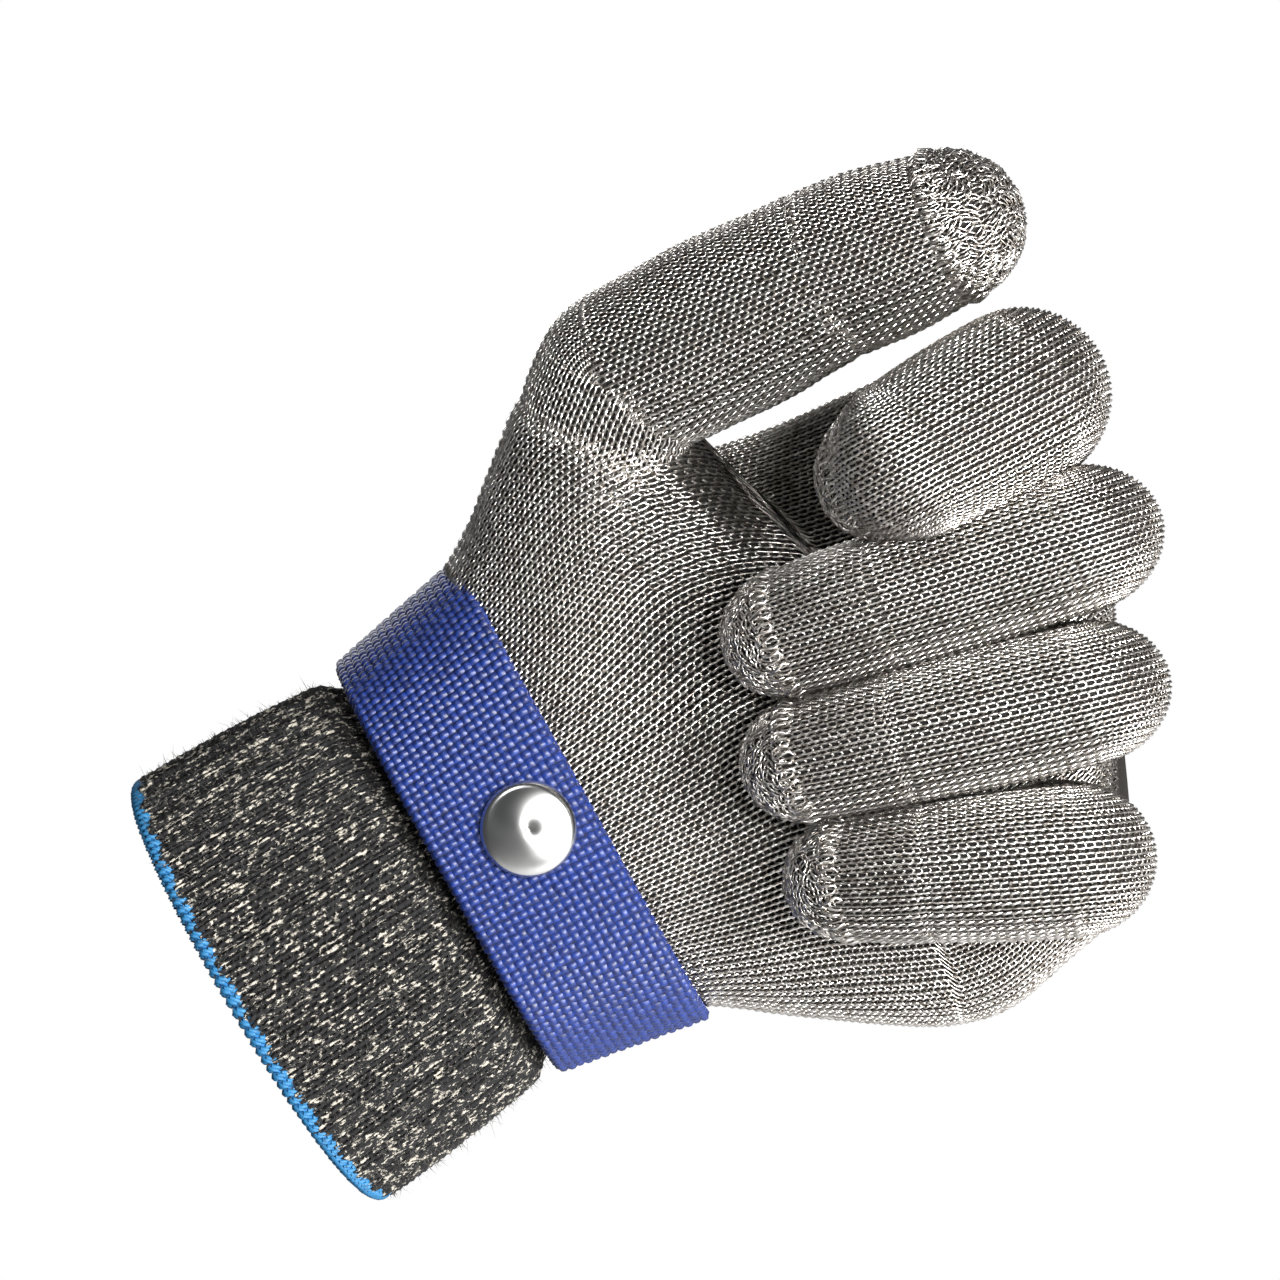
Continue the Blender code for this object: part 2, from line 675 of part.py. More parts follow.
def hinge_turn():
    """The angle round the wrist from the hinge to the webbing on each side, so that the tongue can turn."""
    half_depth = WRIST_HALF_DEPTH + TONGUE_OUTER
    return math.degrees(math.asin((HINGE_ROOM / half_depth) ** (PALM_POWER / 2.0)))


def box_stitch():
    """The frame of thread that holds the strap's root to the band, standing on its outer face."""
    columns = (STRAP_START + STITCH_INSET, STRAP_END - STITCH_INSET)
    columns = (columns[0], columns[0] + STITCH_WIDTH, columns[1] - STITCH_WIDTH, columns[1])
    turn = math.degrees(STITCH_WIDTH / WRIST_HALF_DEPTH)
    last = ROOT_END - turn
    rows = (last - 5.0 * turn, last - 4.0 * turn, last - turn, last)
    bm = bmesh.new()
    layers = []
    for grow in (TONGUE_OUTER + CLEARANCE, TONGUE_OUTER + CLEARANCE + STITCH_HEIGHT):
        points = [[wrist_point(x, angle, grow, 0.0) for x in columns] for angle in rows]
        layers.append([[bm.verts.new(point) for point in row] for row in points])
    for layer in layers:
        for i in range(3):
            for j in range(3):
                if (i, j) != (1, 1):
                    bm.faces.new((layer[i][j], layer[i][j + 1], layer[i + 1][j + 1], layer[i + 1][j]))
    low, high = layers
    outline = [(0, i) for i in range(3)] + [(i, 3) for i in range(3)]
    outline += [(3, 3 - i) for i in range(3)] + [(3 - i, 0) for i in range(3)]
    for walk in (outline, [(1, 1), (1, 2), (2, 2), (2, 1)]):
        join_rims(bm, [low[i][j] for i, j in walk], [high[i][j] for i, j in walk])
    return new_object("strap_box_stitch", bm, "blue thread")


def drill(target, x, z, radius, near, far):
    """Cuts a round hole along Y between two depths."""
    profile = [(radius, -near), (radius, -far), (0.0, -far)]
    cutter = turned("drill", [(0.0, -near)] + profile, (x, 0.0, z), "blue webbing", sides=24)
    combine(target, cutter, "DIFFERENCE")


def snap(band, tongue):
    """The press stud: cap and socket ride on the tongue, stud and post on the band."""
    middle = (SNAP_X, 0.0, SNAP_Z)
    band_in = WRIST_HALF_DEPTH + BAND_INNER
    band_out = WRIST_HALF_DEPTH + BAND_OUTER
    tongue_in = WRIST_HALF_DEPTH + TONGUE_INNER + TONGUE_LIFT
    tongue_out = WRIST_HALF_DEPTH + TONGUE_OUTER + TONGUE_LIFT
    cap, shank = CAP_DIAMETER / 2.0, SHANK_DIAMETER / 2.0
    socket, stud, head = SOCKET_DIAMETER / 2.0, STUD_DIAMETER / 2.0, HEAD_DIAMETER / 2.0
    hole = shank + CLEARANCE
    drill(tongue, SNAP_X, SNAP_Z, hole, -tongue_out - 3.0, -tongue_in + 3.0)
    drill(band, SNAP_X, SNAP_Z, hole, -band_out - 3.0, -band_in + 3.0)
    drill(band, SNAP_X, SNAP_Z, stud + CLEARANCE, -band_in - PLATE - CLEARANCE, -band_in + 3.0)

    seat = tongue_out + CLEARANCE
    dome = [(cap, seat), (cap, seat + 0.5)]
    for angle in (20.0, 45.0, 70.0):
        turn = math.radians(angle)
        dome.append((cap * math.cos(turn), seat + 0.5 + (CAP_HEIGHT - 0.5) * math.sin(turn)))
    shank_end = tongue_in - CLEARANCE - PLATE
    profile = [(0.0, shank_end), (shank, shank_end), (shank, seat)] + dome + [(0.0, seat + CAP_HEIGHT)]
    turned("snap_cap", profile, middle, "polished steel", sides=32)

    top = tongue_in - CLEARANCE
    low = band_out + CLEARANCE + PLATE + CLEARANCE
    rim = head + CLEARANCE
    ring = [(hole, top), (hole, top - PLATE), (rim, top - PLATE), (rim, low), (socket, low), (socket, top)]
    turned("snap_socket", ring, middle, "polished steel")

    base = band_out + CLEARANCE
    head_top = top - PLATE - CLEARANCE
    foot = band_in + PLATE + CLEARANCE
    profile = [(0.0, foot), (shank, foot), (shank, base), (stud, base), (stud, base + PLATE)]
    profile += [(head, base + PLATE), (head, head_top), (0.0, head_top)]
    turned("snap_stud", profile, middle, "polished steel")
    profile = [(0.0, band_in), (stud, band_in), (stud, band_in + PLATE), (0.0, band_in + PLATE)]
    turned("snap_back_plate", profile, middle, "polished steel")


def digits_of_the_hand():
    """Fingers lie side by side: each one's place comes from the widths of its neighbours."""
    sizes = {name: row["sizes"] for name, row in FINGERS.items()}
    second = {"middle": MIDDLE_Z}
    tips = {"middle": MIDDLE_TIP_Z}
    second["index"] = MIDDLE_Z + sizes["middle"][1][0] + sizes["index"][1][0] + INDEX_GAP
    tips["index"] = second["index"]
    for upper, lower in (("middle", "ring"), ("ring", "little")):
        second[lower] = second[upper] - sizes[upper][1][0] - sizes[lower][1][0] - KNUCKLE_GAP
        tips[lower] = tips[upper] - sizes[upper][3][0] - sizes[lower][3][0] - KNUCKLE_GAP
    return [finger(name, second[name], second[name], tips[name]) for name in FINGERS] + [thumb()]


def build():
    clear_scene()
    digits = digits_of_the_hand()
    swings = [math.radians(THUMB_SWING) * share for share in (0.0, 0.5, 1.0)]
    ways = [thumb_way(digits[-1], -CLEARANCE, swings, None)]
    hand_shell(digits, "mesh_hand", "steel mesh", 0.0, MESH_WALL, STRAP_START + MESH_TUCK, "mitre", ways)
    liner_start = STRAP_START + LINER_TUCK + CLEARANCE
    ways = [thumb_way(digits[-1], -CLEARANCE, swings, None)]
    ways.append(thumb_way(digits[-1], LINER_OFFSET - CLEARANCE, [0.0], -THUMB_LINER_BREAK - CLEARANCE))
    hand_shell(digits, "liner_hand", "knitted liner", LINER_OFFSET, BORE_OFFSET, liner_start, "liner", ways)
    for digit in digits:
        is_thumb = digit["name"] == "thumb"
        parts = ("root", "proximal", "tip") if is_thumb else ("proximal", "middle", "tip")
        bends = ("root", "knuckle", "end") if is_thumb else ("knuckle", "middle", "end")
        for index in range(3):
            mesh_sleeve(digit, index, parts[index])
            bend_shell(digit, index, f"{bends[index]}_bend")
        liner_finger(digit)
        tip_seam(digit)
    hollow("liner_cuff", cuff_rings(0.0), cuff_rings(CUFF_WALL), "ribbed cuff")
    hem()
    band = strap_band()
    tongue = strap_piece("strap_tongue", TONGUE_END, 90.0 - hinge_turn(), 14, TONGUE_LIFT)
    strap_piece("strap_root", 90.0 + hinge_turn(), ROOT_END, 4, 0.0)
    box_stitch()
    snap(band, tongue)
    hinge = tongue_hinge()[0]
    for name in ("strap_tongue", "snap_cap", "snap_socket"):
        place_origin(bpy.data.objects[name], hinge)


build()
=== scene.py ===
"""Looks of the mesh glove: knitted steel wire over a dark liner, a melange cuff, blue webbing and a snap."""

import json
import math

import bmesh
import bpy
import numpy as np
from mathutils import Matrix, Vector


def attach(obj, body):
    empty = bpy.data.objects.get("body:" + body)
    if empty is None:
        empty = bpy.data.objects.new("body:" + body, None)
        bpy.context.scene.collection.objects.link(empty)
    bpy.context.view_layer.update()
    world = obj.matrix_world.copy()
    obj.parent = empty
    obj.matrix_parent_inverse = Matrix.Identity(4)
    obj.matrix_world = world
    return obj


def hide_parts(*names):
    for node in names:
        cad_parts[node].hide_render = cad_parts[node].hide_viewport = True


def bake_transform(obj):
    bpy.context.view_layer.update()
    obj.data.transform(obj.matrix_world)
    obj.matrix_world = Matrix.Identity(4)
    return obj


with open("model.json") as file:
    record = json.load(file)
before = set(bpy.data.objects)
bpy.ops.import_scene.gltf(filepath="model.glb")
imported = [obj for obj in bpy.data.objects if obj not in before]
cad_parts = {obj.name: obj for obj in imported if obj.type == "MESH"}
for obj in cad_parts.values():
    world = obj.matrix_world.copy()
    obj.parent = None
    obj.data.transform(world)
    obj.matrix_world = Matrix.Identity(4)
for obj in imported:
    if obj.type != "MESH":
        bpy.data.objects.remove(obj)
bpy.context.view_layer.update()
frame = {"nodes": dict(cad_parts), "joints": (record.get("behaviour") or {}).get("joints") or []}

# The steel fabric is knitted from round stainless wire in one long row of loops after another, as a sock is.
# Every loop hangs in the loop of the row before it, so the fabric stretches over a hand but a blade stops.

MM = 0.001
STITCH_WIDTH = 1.6  # one wale, across the loops
STITCH_HEIGHT = 1.34  # one row
WIRE_RADIUS = 0.22
LOOP_BULGE = 0.19  # how far a loop's legs lean together, as a share of its width
LOOP_REACH = 0.86  # half a loop's height, in rows
LOOP_DEPTH = 0.24
LINER_DEPTH = 0.42  # the dark liner lies this far under the middle of the wire
KNIT_SPAN = 200.0  # cells in one unit of the knit map, so that every piece's map stays inside one unit
BAKE_SPAN = (0.004, 0.008, 0.0)  # one cell's share of the OFBake map, across and along


def colour(code):
    """An sRGB hex colour as linear RGBA."""
    parts = [int(code[i : i + 2], 16) / 255.0 for i in (1, 3, 5)]
    linear = [c / 12.92 if c <= 0.04045 else ((c + 0.055) / 1.055) ** 2.4 for c in parts]
    return (*linear, 1.0)


def placed(name, data):
    """An object for a mesh, lamp or camera, in the scene and at the origin."""
    made = bpy.data.objects.new(name, data)
    bpy.context.scene.collection.objects.link(made)
    return made


def add_node(tree, kind, inputs=None, **settings):
    """Adds a node: settings are its properties, inputs are values or sockets to link from."""
    node = tree.nodes.new(kind)
    for name, value in settings.items():
        setattr(node, name, value)
    for name, value in (inputs or {}).items():
        socket = node.inputs[name]
        if isinstance(value, bpy.types.NodeSocket):
            tree.links.new(value, socket)
        else:
            socket.default_value = value
    return node


def new_material(name, base, roughness, metallic=0.0, **sockets):
    """A material and its shader, with further sockets given by name."""
    made = bpy.data.materials.new(name)
    made.use_nodes = True
    shader = made.node_tree.nodes["Principled BSDF"]
    shader.inputs["Base Color"].default_value = colour(base)
    shader.inputs["Roughness"].default_value = roughness
    shader.inputs["Metallic"].default_value = metallic
    for socket, value in sockets.items():
        shader.inputs[socket.replace("_", " ")].default_value = value
    return made, shader


# Drawn stainless wire: bright, a little dulled by knitting oil and wear, so its highlights are soft.
# The wear changes about every millimetre along the wire.
steel_wire, wire_shader = new_material("drawn stainless wire", "#C9C4BC", 0.28, metallic=1.0)
tree = steel_wire.node_tree
place = add_node(tree, "ShaderNodeTexCoord").outputs["Object"]
wear = add_node(tree, "ShaderNodeTexNoise", {"Vector": place, "Scale": 900.0, "Detail": 2.0})
shade = add_node(tree, "ShaderNodeValToRGB", {"Fac": wear.outputs["Fac"]})
shade.color_ramp.elements[0].position = 0.3
shade.color_ramp.elements[0].color = colour("#A39B92")
shade.color_ramp.elements[1].position = 0.62
shade.color_ramp.elements[1].color = colour("#EFEBE6")
tree.links.new(shade.outputs["Color"], wire_shader.inputs["Base Color"])

# The liner under the mesh: fine dark yarn, seen only as the black of each hole
liner_yarn, _ = new_material("dark liner yarn", "#15120F", 0.95)


def swept_wire(points, radius, sides, scale):
    """A round wire swept along points given in millimetres, with its ends left open for the next loop."""
    points = np.array(points, float)
    ahead = np.gradient(points, axis=0)
    ahead /= np.linalg.norm(ahead, axis=1)[:, None]
    across = np.cross(ahead, (0.0, 0.0, 1.0))
    across /= np.linalg.norm(across, axis=1)[:, None]
    above = np.cross(across, ahead)
    verts = []
    for i in range(len(points)):
        for k in range(sides):
            turn = 2.0 * math.pi * k / sides
            spoke = math.cos(turn) * across[i] + math.sin(turn) * above[i]
            verts.append((points[i] + radius * spoke) * scale)
    faces = []
    for i in range(len(points) - 1):
        for k in range(sides):
            n = (k + 1) % sides
            faces.append((i * sides + k, i * sides + n, (i + 1) * sides + n, (i + 1) * sides + k))
    return verts, faces


def smooth_object(name, verts, faces):
    mesh = bpy.data.meshes.new(name)
    mesh.from_pydata([tuple(v) for v in verts], [], faces)
    mesh.shade_smooth()
    return placed(name, mesh)


def stitch_object(name, width, height, radius, depth, reach, bulge, steps=8, sides=3):
    """One loop of a plain knit, legs in front, in units of one cell across and metres in height."""
    points = []
    for i in range(steps + 1):
        t = 2.0 * math.pi * i / steps
        x = (t / (2.0 * math.pi) - 0.5 + bulge * math.sin(2.0 * t)) * width
        y = -reach * math.cos(t) * height
        points.append((x, y, -depth * math.cos(2.0 * t)))
    scale = np.array((1.0 / width, 1.0 / height, MM))
    verts, faces = swept_wire(points, radius, sides, scale)
    return smooth_object(name, verts, faces)


wire_loop = stitch_object(
    "wire_loop", STITCH_WIDTH, STITCH_HEIGHT, WIRE_RADIUS, LOOP_DEPTH, LOOP_REACH, LOOP_BULGE
)


def cloth_grid(name, point, wales, rows, margin=1.0, step=1.0, keep=None):
    """A smooth base for knitting: point(u, v) gives places in millimetres, u in wales and v in rows.

    keep(u, v) is above zero where the fabric stays."""
    u = np.linspace(-margin, wales + margin, int(round((wales + 2 * margin) / step)) + 1)
    v = np.linspace(-margin, rows + margin, int(round((rows + 2 * margin) / step)) + 1)
    uu, vv = np.meshgrid(u, v)
    places = point(uu, vv)
    du = np.gradient(places, axis=1)
    dv = np.gradient(places, axis=0)
    out = np.cross(du, dv)
    out /= np.maximum(np.linalg.norm(out, axis=2), 1e-9)[:, :, None]
    across, along = len(u), len(v)
    index = np.arange(across * along).reshape(along, across)
    faces = np.stack((index[:-1, :-1], index[:-1, 1:], index[1:, 1:], index[1:, :-1]), axis=-1)
    faces = faces.reshape(-1, 4)
    mesh = bpy.data.meshes.new(name)
    mesh.from_pydata((places.reshape(-1, 3) * MM).tolist(), [], faces.tolist())
    outward = mesh.attributes.new("out", "FLOAT_VECTOR", "POINT")
    outward.data.foreach_set("vector", out.reshape(-1).astype("f"))
    inside = np.ones(uu.shape) if keep is None else keep(uu, vv)
    kept = mesh.attributes.new("inside", "FLOAT", "POINT")
    kept.data.foreach_set("value", inside.reshape(-1).astype("f"))
    flat = mesh.uv_layers.new(name="knit")
    corners = np.stack((uu.reshape(-1), vv.reshape(-1)), axis=1)[faces.reshape(-1)] / KNIT_SPAN
    flat.data.foreach_set("uv", corners.reshape(-1).astype("f"))
    mesh.shade_smooth()
    return placed(name, mesh)


def knitting_tree():
    """Loops laid in rows on a flat grid, then carried onto the base surface by its knit coordinates."""
    tree = bpy.data.node_groups.new("knitting", "GeometryNodeTree")
    sockets = tree.interface
    sockets.new_socket("Geometry", in_out="OUTPUT", socket_type="NodeSocketGeometry")
    for label, kind in (
        ("Base", "Geometry"), ("Stitch", "Object"), ("Wales", "Int"), ("Rows", "Int"),
        ("Turn", "Float"), ("Lift", "Float"), ("Liner Depth", "Float"), ("Seed", "Int"),
        ("Wire", "Material"), ("Liner", "Material"),
    ):
        sockets.new_socket(label, in_out="INPUT", socket_type=f"NodeSocket{kind}")
    given = add_node(tree, "NodeGroupInput").outputs
    named = "GeometryNodeInputNamedAttribute"
    flat = add_node(tree, named, {"Name": "knit"}, data_type="FLOAT_VECTOR").outputs[0]
    out = add_node(tree, named, {"Name": "out"}, data_type="FLOAT_VECTOR").outputs[0]
    inside = add_node(tree, named, {"Name": "inside"}, data_type="FLOAT").outputs[0]
    place = add_node(tree, "GeometryNodeInputPosition").outputs[0]
    at = add_node(tree, "ShaderNodeVectorMath", {0: place, "Scale": 1.0 / KNIT_SPAN}, operation="SCALE")
    at = at.outputs[0]

    def sampled(value, kind):
        node = add_node(
            tree, "GeometryNodeSampleUVSurface",
            {"Mesh": given["Base"], "Value": value, "Source UV Map": flat, "Sample UV": at}, data_type=kind,
        )
        return node.outputs["Value"]

    one_less = [
        add_node(tree, "ShaderNodeMath", {0: given[label], 1: 1.0}, operation="SUBTRACT").outputs[0]
        for label in ("Wales", "Rows")
    ]
    grid = add_node(
        tree, "GeometryNodeMeshGrid",
        {
            "Size X": one_less[0], "Size Y": one_less[1],
            "Vertices X": given["Wales"], "Vertices Y": given["Rows"],
        },
    ).outputs["Mesh"]
    halves = [
        add_node(tree, "ShaderNodeMath", {0: n, 1: 0.5, 2: 0.5}, operation="MULTIPLY_ADD").outputs[0]
        for n in one_less
    ]
    corner = add_node(tree, "ShaderNodeCombineXYZ", {"X": halves[0], "Y": halves[1]}).outputs[0]
    grid = add_node(tree, "GeometryNodeSetPosition", {"Geometry": grid, "Offset": corner}).outputs[0]
    stays = sampled(inside, "FLOAT")
    kept = add_node(tree, "ShaderNodeMath", {0: stays, 1: 0.0}, operation="GREATER_THAN")
    turn = add_node(tree, "FunctionNodeRandomValue", {"Seed": given["Seed"]}, data_type="FLOAT")
    less = add_node(tree, "ShaderNodeMath", {0: given["Turn"], 1: -1.0}, operation="MULTIPLY").outputs[0]
    tree.links.new(less, turn.inputs[2])
    tree.links.new(given["Turn"], turn.inputs[3])
    angle = add_node(tree, "ShaderNodeCombineXYZ", {"Z": turn.outputs[1]}).outputs[0]
    loop = add_node(tree, "GeometryNodeObjectInfo", {"Object": given["Stitch"]}).outputs["Geometry"]
    loops = add_node(
        tree, "GeometryNodeInstanceOnPoints",
        {"Points": grid, "Selection": kept.outputs[0], "Instance": loop, "Rotation": angle},
    ).outputs[0]
    lift = add_node(tree, "FunctionNodeRandomValue", {"Seed": given["Seed"]}, data_type="FLOAT")
    lower = add_node(tree, "ShaderNodeMath", {0: given["Lift"], 1: -1.0}, operation="MULTIPLY").outputs[0]
    tree.links.new(lower, lift.inputs[2])
    tree.links.new(given["Lift"], lift.inputs[3])
    rise = add_node(tree, "ShaderNodeCombineXYZ", {"Z": lift.outputs[1]}).outputs[0]
    loops = add_node(tree, "GeometryNodeTranslateInstances", {"Instances": loops, "Translation": rise})
    loops = loops.outputs[0]
    wires = add_node(tree, "GeometryNodeRealizeInstances", {"Geometry": loops}).outputs[0]
    # each loop's place on the flat grid, scaled, is its place on the OFBake map
    baked = add_node(tree, "ShaderNodeVectorMath", {0: place, 1: BAKE_SPAN}, operation="MULTIPLY").outputs[0]
    wires = add_node(
        tree, "GeometryNodeStoreNamedAttribute",
        {"Geometry": wires, "Name": "OFBake", "Value": baked}, data_type="FLOAT2", domain="CORNER",
    ).outputs[0]
    height = add_node(tree, "ShaderNodeSeparateXYZ", {0: place}).outputs["Z"]
    raised = add_node(
        tree, "ShaderNodeVectorMath", {0: sampled(out, "FLOAT_VECTOR"), "Scale": height}, operation="SCALE"
    ).outputs[0]
    foot = sampled(place, "FLOAT_VECTOR")
    there = add_node(tree, "ShaderNodeVectorMath", {0: foot, 1: raised}, operation="ADD").outputs[0]
    wires = add_node(tree, "GeometryNodeSetPosition", {"Geometry": wires, "Position": there}).outputs[0]
    wires = add_node(tree, "GeometryNodeSetMaterial", {"Geometry": wires, "Material": given["Wire"]})
    wires = wires.outputs[0]

    outside = add_node(tree, "ShaderNodeMath", {0: inside, 1: 0.0}, operation="LESS_THAN").outputs[0]
    under = add_node(
        tree, "GeometryNodeDeleteGeometry", {"Geometry": given["Base"], "Selection": outside}, domain="FACE"
    ).outputs[0]
    # the base itself, sunk a little, is the liner that shows through the holes; under the webbing it is a
    # nearly black sheet of painted shade between the threads
    down = add_node(tree, "ShaderNodeMath", {0: given["Liner Depth"], 1: -1.0}, operation="MULTIPLY")
    down = down.outputs[0]
    sunk = add_node(tree, "ShaderNodeVectorMath", {0: out, "Scale": down}, operation="SCALE").outputs[0]
    under = add_node(tree, "GeometryNodeSetPosition", {"Geometry": under, "Offset": sunk}).outputs[0]
    under = add_node(tree, "GeometryNodeSetMaterial", {"Geometry": under, "Material": given["Liner"]})
    under = under.outputs[0]
    both = add_node(tree, "GeometryNodeJoinGeometry").inputs[0]
    tree.links.new(under, both)
    tree.links.new(wires, both)
    done = add_node(tree, "GeometryNodeRealizeInstances", {"Geometry": both.node.outputs[0]}).outputs[0]
    add_node(tree, "NodeGroupOutput", {0: done})
    return tree


knitting = knitting_tree()


def knit(
    base, wales, rows, stitch=None, wire=None, liner=None, turn=0.05, lift=0.03, depth=LINER_DEPTH, seed=1
):
    """Knits loops over a base and puts the plain result in the base object."""
    step = base.modifiers.new("knitting", "NODES")
    step.node_group = knitting
    values = {
        "Stitch": stitch or wire_loop, "Wales": wales, "Rows": rows, "Turn": turn,
        "Lift": lift * MM, "Liner Depth": depth * MM, "Seed": seed,
        "Wire": wire or steel_wire, "Liner": liner or liner_yarn,
    }
    for socket in knitting.interface.items_tree:
        if socket.in_out == "INPUT" and socket.name in values:
            step[socket.identifier] = values[socket.name]
    bpy.context.view_layer.update()
    done = bpy.data.meshes.new_from_object(base.evaluated_get(bpy.context.evaluated_depsgraph_get()))
    base.modifiers.remove(step)
    base.data = done
    return base


def joined(name, pieces):
    """Puts several knitted parts of one body together in one object."""
    with bpy.context.temp_override(active_object=pieces[0], selected_editable_objects=pieces):
        bpy.ops.object.join()
    pieces[0].name = name
    pieces[0].data.name = name
    return pieces[0]


# The hand of the glove: knitted in one piece from the wrist to the finger roots, wales running lengthwise.
# It is a flat sleeve that widens over the palm, swells over the thumb's root and closes over the knuckles.

HAND_WALES = 136
HAND_PIECES = (
    "hand_back_little_side", "hand_back_thumb_side", "hand_palm_thumb_side", "hand_palm_little_side",
)
HAND_START = 51.0  # tucked under the strap
HAND_LENGTH = 75.0  # to the middle knuckle
KNUCKLE_RADIUS = 11.6
SECTION_POWER = 2.4
KNUCKLE_ROOM = 5.5  # half the width of the rise over each knuckle
KNUCKLE_RISE = 1.1
FINGER_LINES = (23.2, 1.8, -17.0, -35.7)  # where the fingers leave the hand, from index to little

# Across the hand: how far the knuckles reach along it, and how high they stand
KNUCKLE_LINE = (
    (-54.0, -46.0, -35.7, -17.0, 1.8, 23.2, 34.0), (100.0, 104.0, 105.5, 117.2, 126.0, 120.0, 112.0)
)
KNUCKLE_HEIGHT = ((-46.0, -35.7, -17.0, 1.8, 23.2, 34.0), (-3.0, -1.8, 2.3, 4.0, 3.0, 1.5))

# Along the hand from the wrist: half its depth, and where its two edges run
HALF_DEPTH = ((0.0, 12.0, 25.0, 45.0, 60.0, 75.0), (21.2, 20.2, 19.0, 17.0, 14.6, 12.0))
EDGE_DISTANCES = (0.0, 5.0, 17.0, 33.0, 45.0, 60.0, 75.0, 93.0)
LITTLE_EDGE = (EDGE_DISTANCES, (-30.2, -32.5, -39.0, -46.5, -51.0, -53.5, -51.0, -47.0))
THUMB_EDGE = (EDGE_DISTANCES, (37.6, 39.0, 42.0, 41.0, 38.0, 35.5, 34.5, 33.0))

# The mound at the root of the thumb, a rounded length between two points, blended into the hand
MOUND_FROM = np.array((58.0, -5.0, 26.0))
MOUND_TO = np.array((77.5, -14.5, 44.0))
MOUND_RADII = (14.5, 13.2)
MOUND_BLEND = 8.0

# The outline of a section is looked for outwards from its middle, in steps
REACH_STEP = 0.5
REACH_STEPS = 151


def eased(x, table, width=3.0):
    """A table's value, rounded off at its corners."""
    return sum(np.interp(x + shift, *table) for shift in (-width, -width / 2, 0.0, width / 2, width)) / 5.0


def uneven(places, size):
    """Worn cloth is never quite even: a slow swell of a few tenths of a millimetre, the same every time."""
    x, y, z = places[..., 0], places[..., 1], places[..., 2]
    waves = np.sin(x * 0.31 + z * 0.17) * np.sin(y * 0.27 - z * 0.23 + 1.3)
    waves = waves + 0.6 * np.sin(x * 0.13 - y * 0.4 + z * 0.37)
    return size * waves


def hand_section(distance, steps=240):
    """The hand's outline at a distance from the wrist, walked from the little finger's edge over the back."""
    low, high = eased(distance, LITTLE_EDGE, 5.0), eased(distance, THUMB_EDGE, 5.0)
    middle, half = (low + high) / 2.0, (high - low) / 2.0
    past = np.clip((distance - HAND_LENGTH) / KNUCKLE_RADIUS, 0.0, math.pi / 2)
    depth = eased(min(distance, HAND_LENGTH), HALF_DEPTH) * max(math.cos(past), 0.02)
    turn = -math.pi / 2 - 2.0 * math.pi * np.arange(steps + 1) / steps
    palmward, up = np.cos(turn)[:, None], np.sin(turn)[:, None]
    radius = (np.abs(palmward) / depth) ** SECTION_POWER + (np.abs(up) / half) ** SECTION_POWER
    radius = radius ** (-1.0 / SECTION_POWER)
    out = REACH_STEP * np.arange(REACH_STEPS)[None, :]
    share = min(distance / HAND_LENGTH, 1.0) ** 2

    def place(reach):
        z = middle + reach * up
        knuckle = eased(z, KNUCKLE_LINE)
        x = HAND_START + min(distance, HAND_LENGTH) * (knuckle - HAND_START) / HAND_LENGTH
        x = x + KNUCKLE_RADIUS * math.sin(past)
        y = eased(z, KNUCKLE_HEIGHT) * share - reach * palmward
        return np.stack((x, y, z), axis=-1)

    points = place(out * np.ones_like(radius))
    line = MOUND_TO - MOUND_FROM
    along = np.clip((points - MOUND_FROM) @ line / (line @ line), 0.0, 1.0)
    gap = np.linalg.norm(points - MOUND_FROM - along[..., None] * line, axis=-1)
    gap = gap - (MOUND_RADII[0] + (MOUND_RADII[1] - MOUND_RADII[0]) * along)
    own = out - radius
    mix = np.clip(0.5 + 0.5 * (gap - own) / MOUND_BLEND, 0.0, 1.0)
    joined_gap = gap + (own - gap) * mix - MOUND_BLEND * mix * (1.0 - mix)
    within = joined_gap < 0.0
    last = within.shape[1] - 1 - np.argmax(within[:, ::-1], axis=1)
    rows = np.arange(len(last))
    near, far = joined_gap[rows, last], joined_gap[rows, np.minimum(last + 1, out.shape[1] - 1)]
    reach = out[0, last] + REACH_STEP * np.clip(-near / np.maximum(far - near, 1e-6), 0.0, 1.0)
    outline = place(reach[:, None])[:, 0, :]
    bump = sum(np.exp(-(((outline[:, 2] - z) / KNUCKLE_ROOM) ** 2)) for z in FINGER_LINES) - 0.6
    close = np.exp(-(((distance - HAND_LENGTH) / 14.0) ** 2))
    facing = np.sign(outline[:, 1]) * np.clip(np.abs(palmward[:, 0]) * 2.0, 0.0, 1.0)
    outline[:, 1] += KNUCKLE_RISE * close * bump * facing
    return outline


def hand_point(first_wale):
    """Places on the hand for a piece that starts at a wale; wales are spaced evenly round each section."""

    def point(u, v):
        places = np.zeros((*u.shape, 3))
        for row in range(u.shape[0]):
            outline = hand_section(max(v[row, 0] * STITCH_HEIGHT, -2.0))
            steps = np.linalg.norm(np.diff(outline, axis=0), axis=1)
            walked = np.concatenate(([0.0], np.cumsum(steps))) / steps.sum()
            share = ((u[row] + first_wale) / HAND_WALES) % 1.0
            for k in range(3):
                places[row, :, k] = np.interp(share, walked, outline[:, k])
        places[..., 1] += uneven(places, 0.22)
        return places

    return point


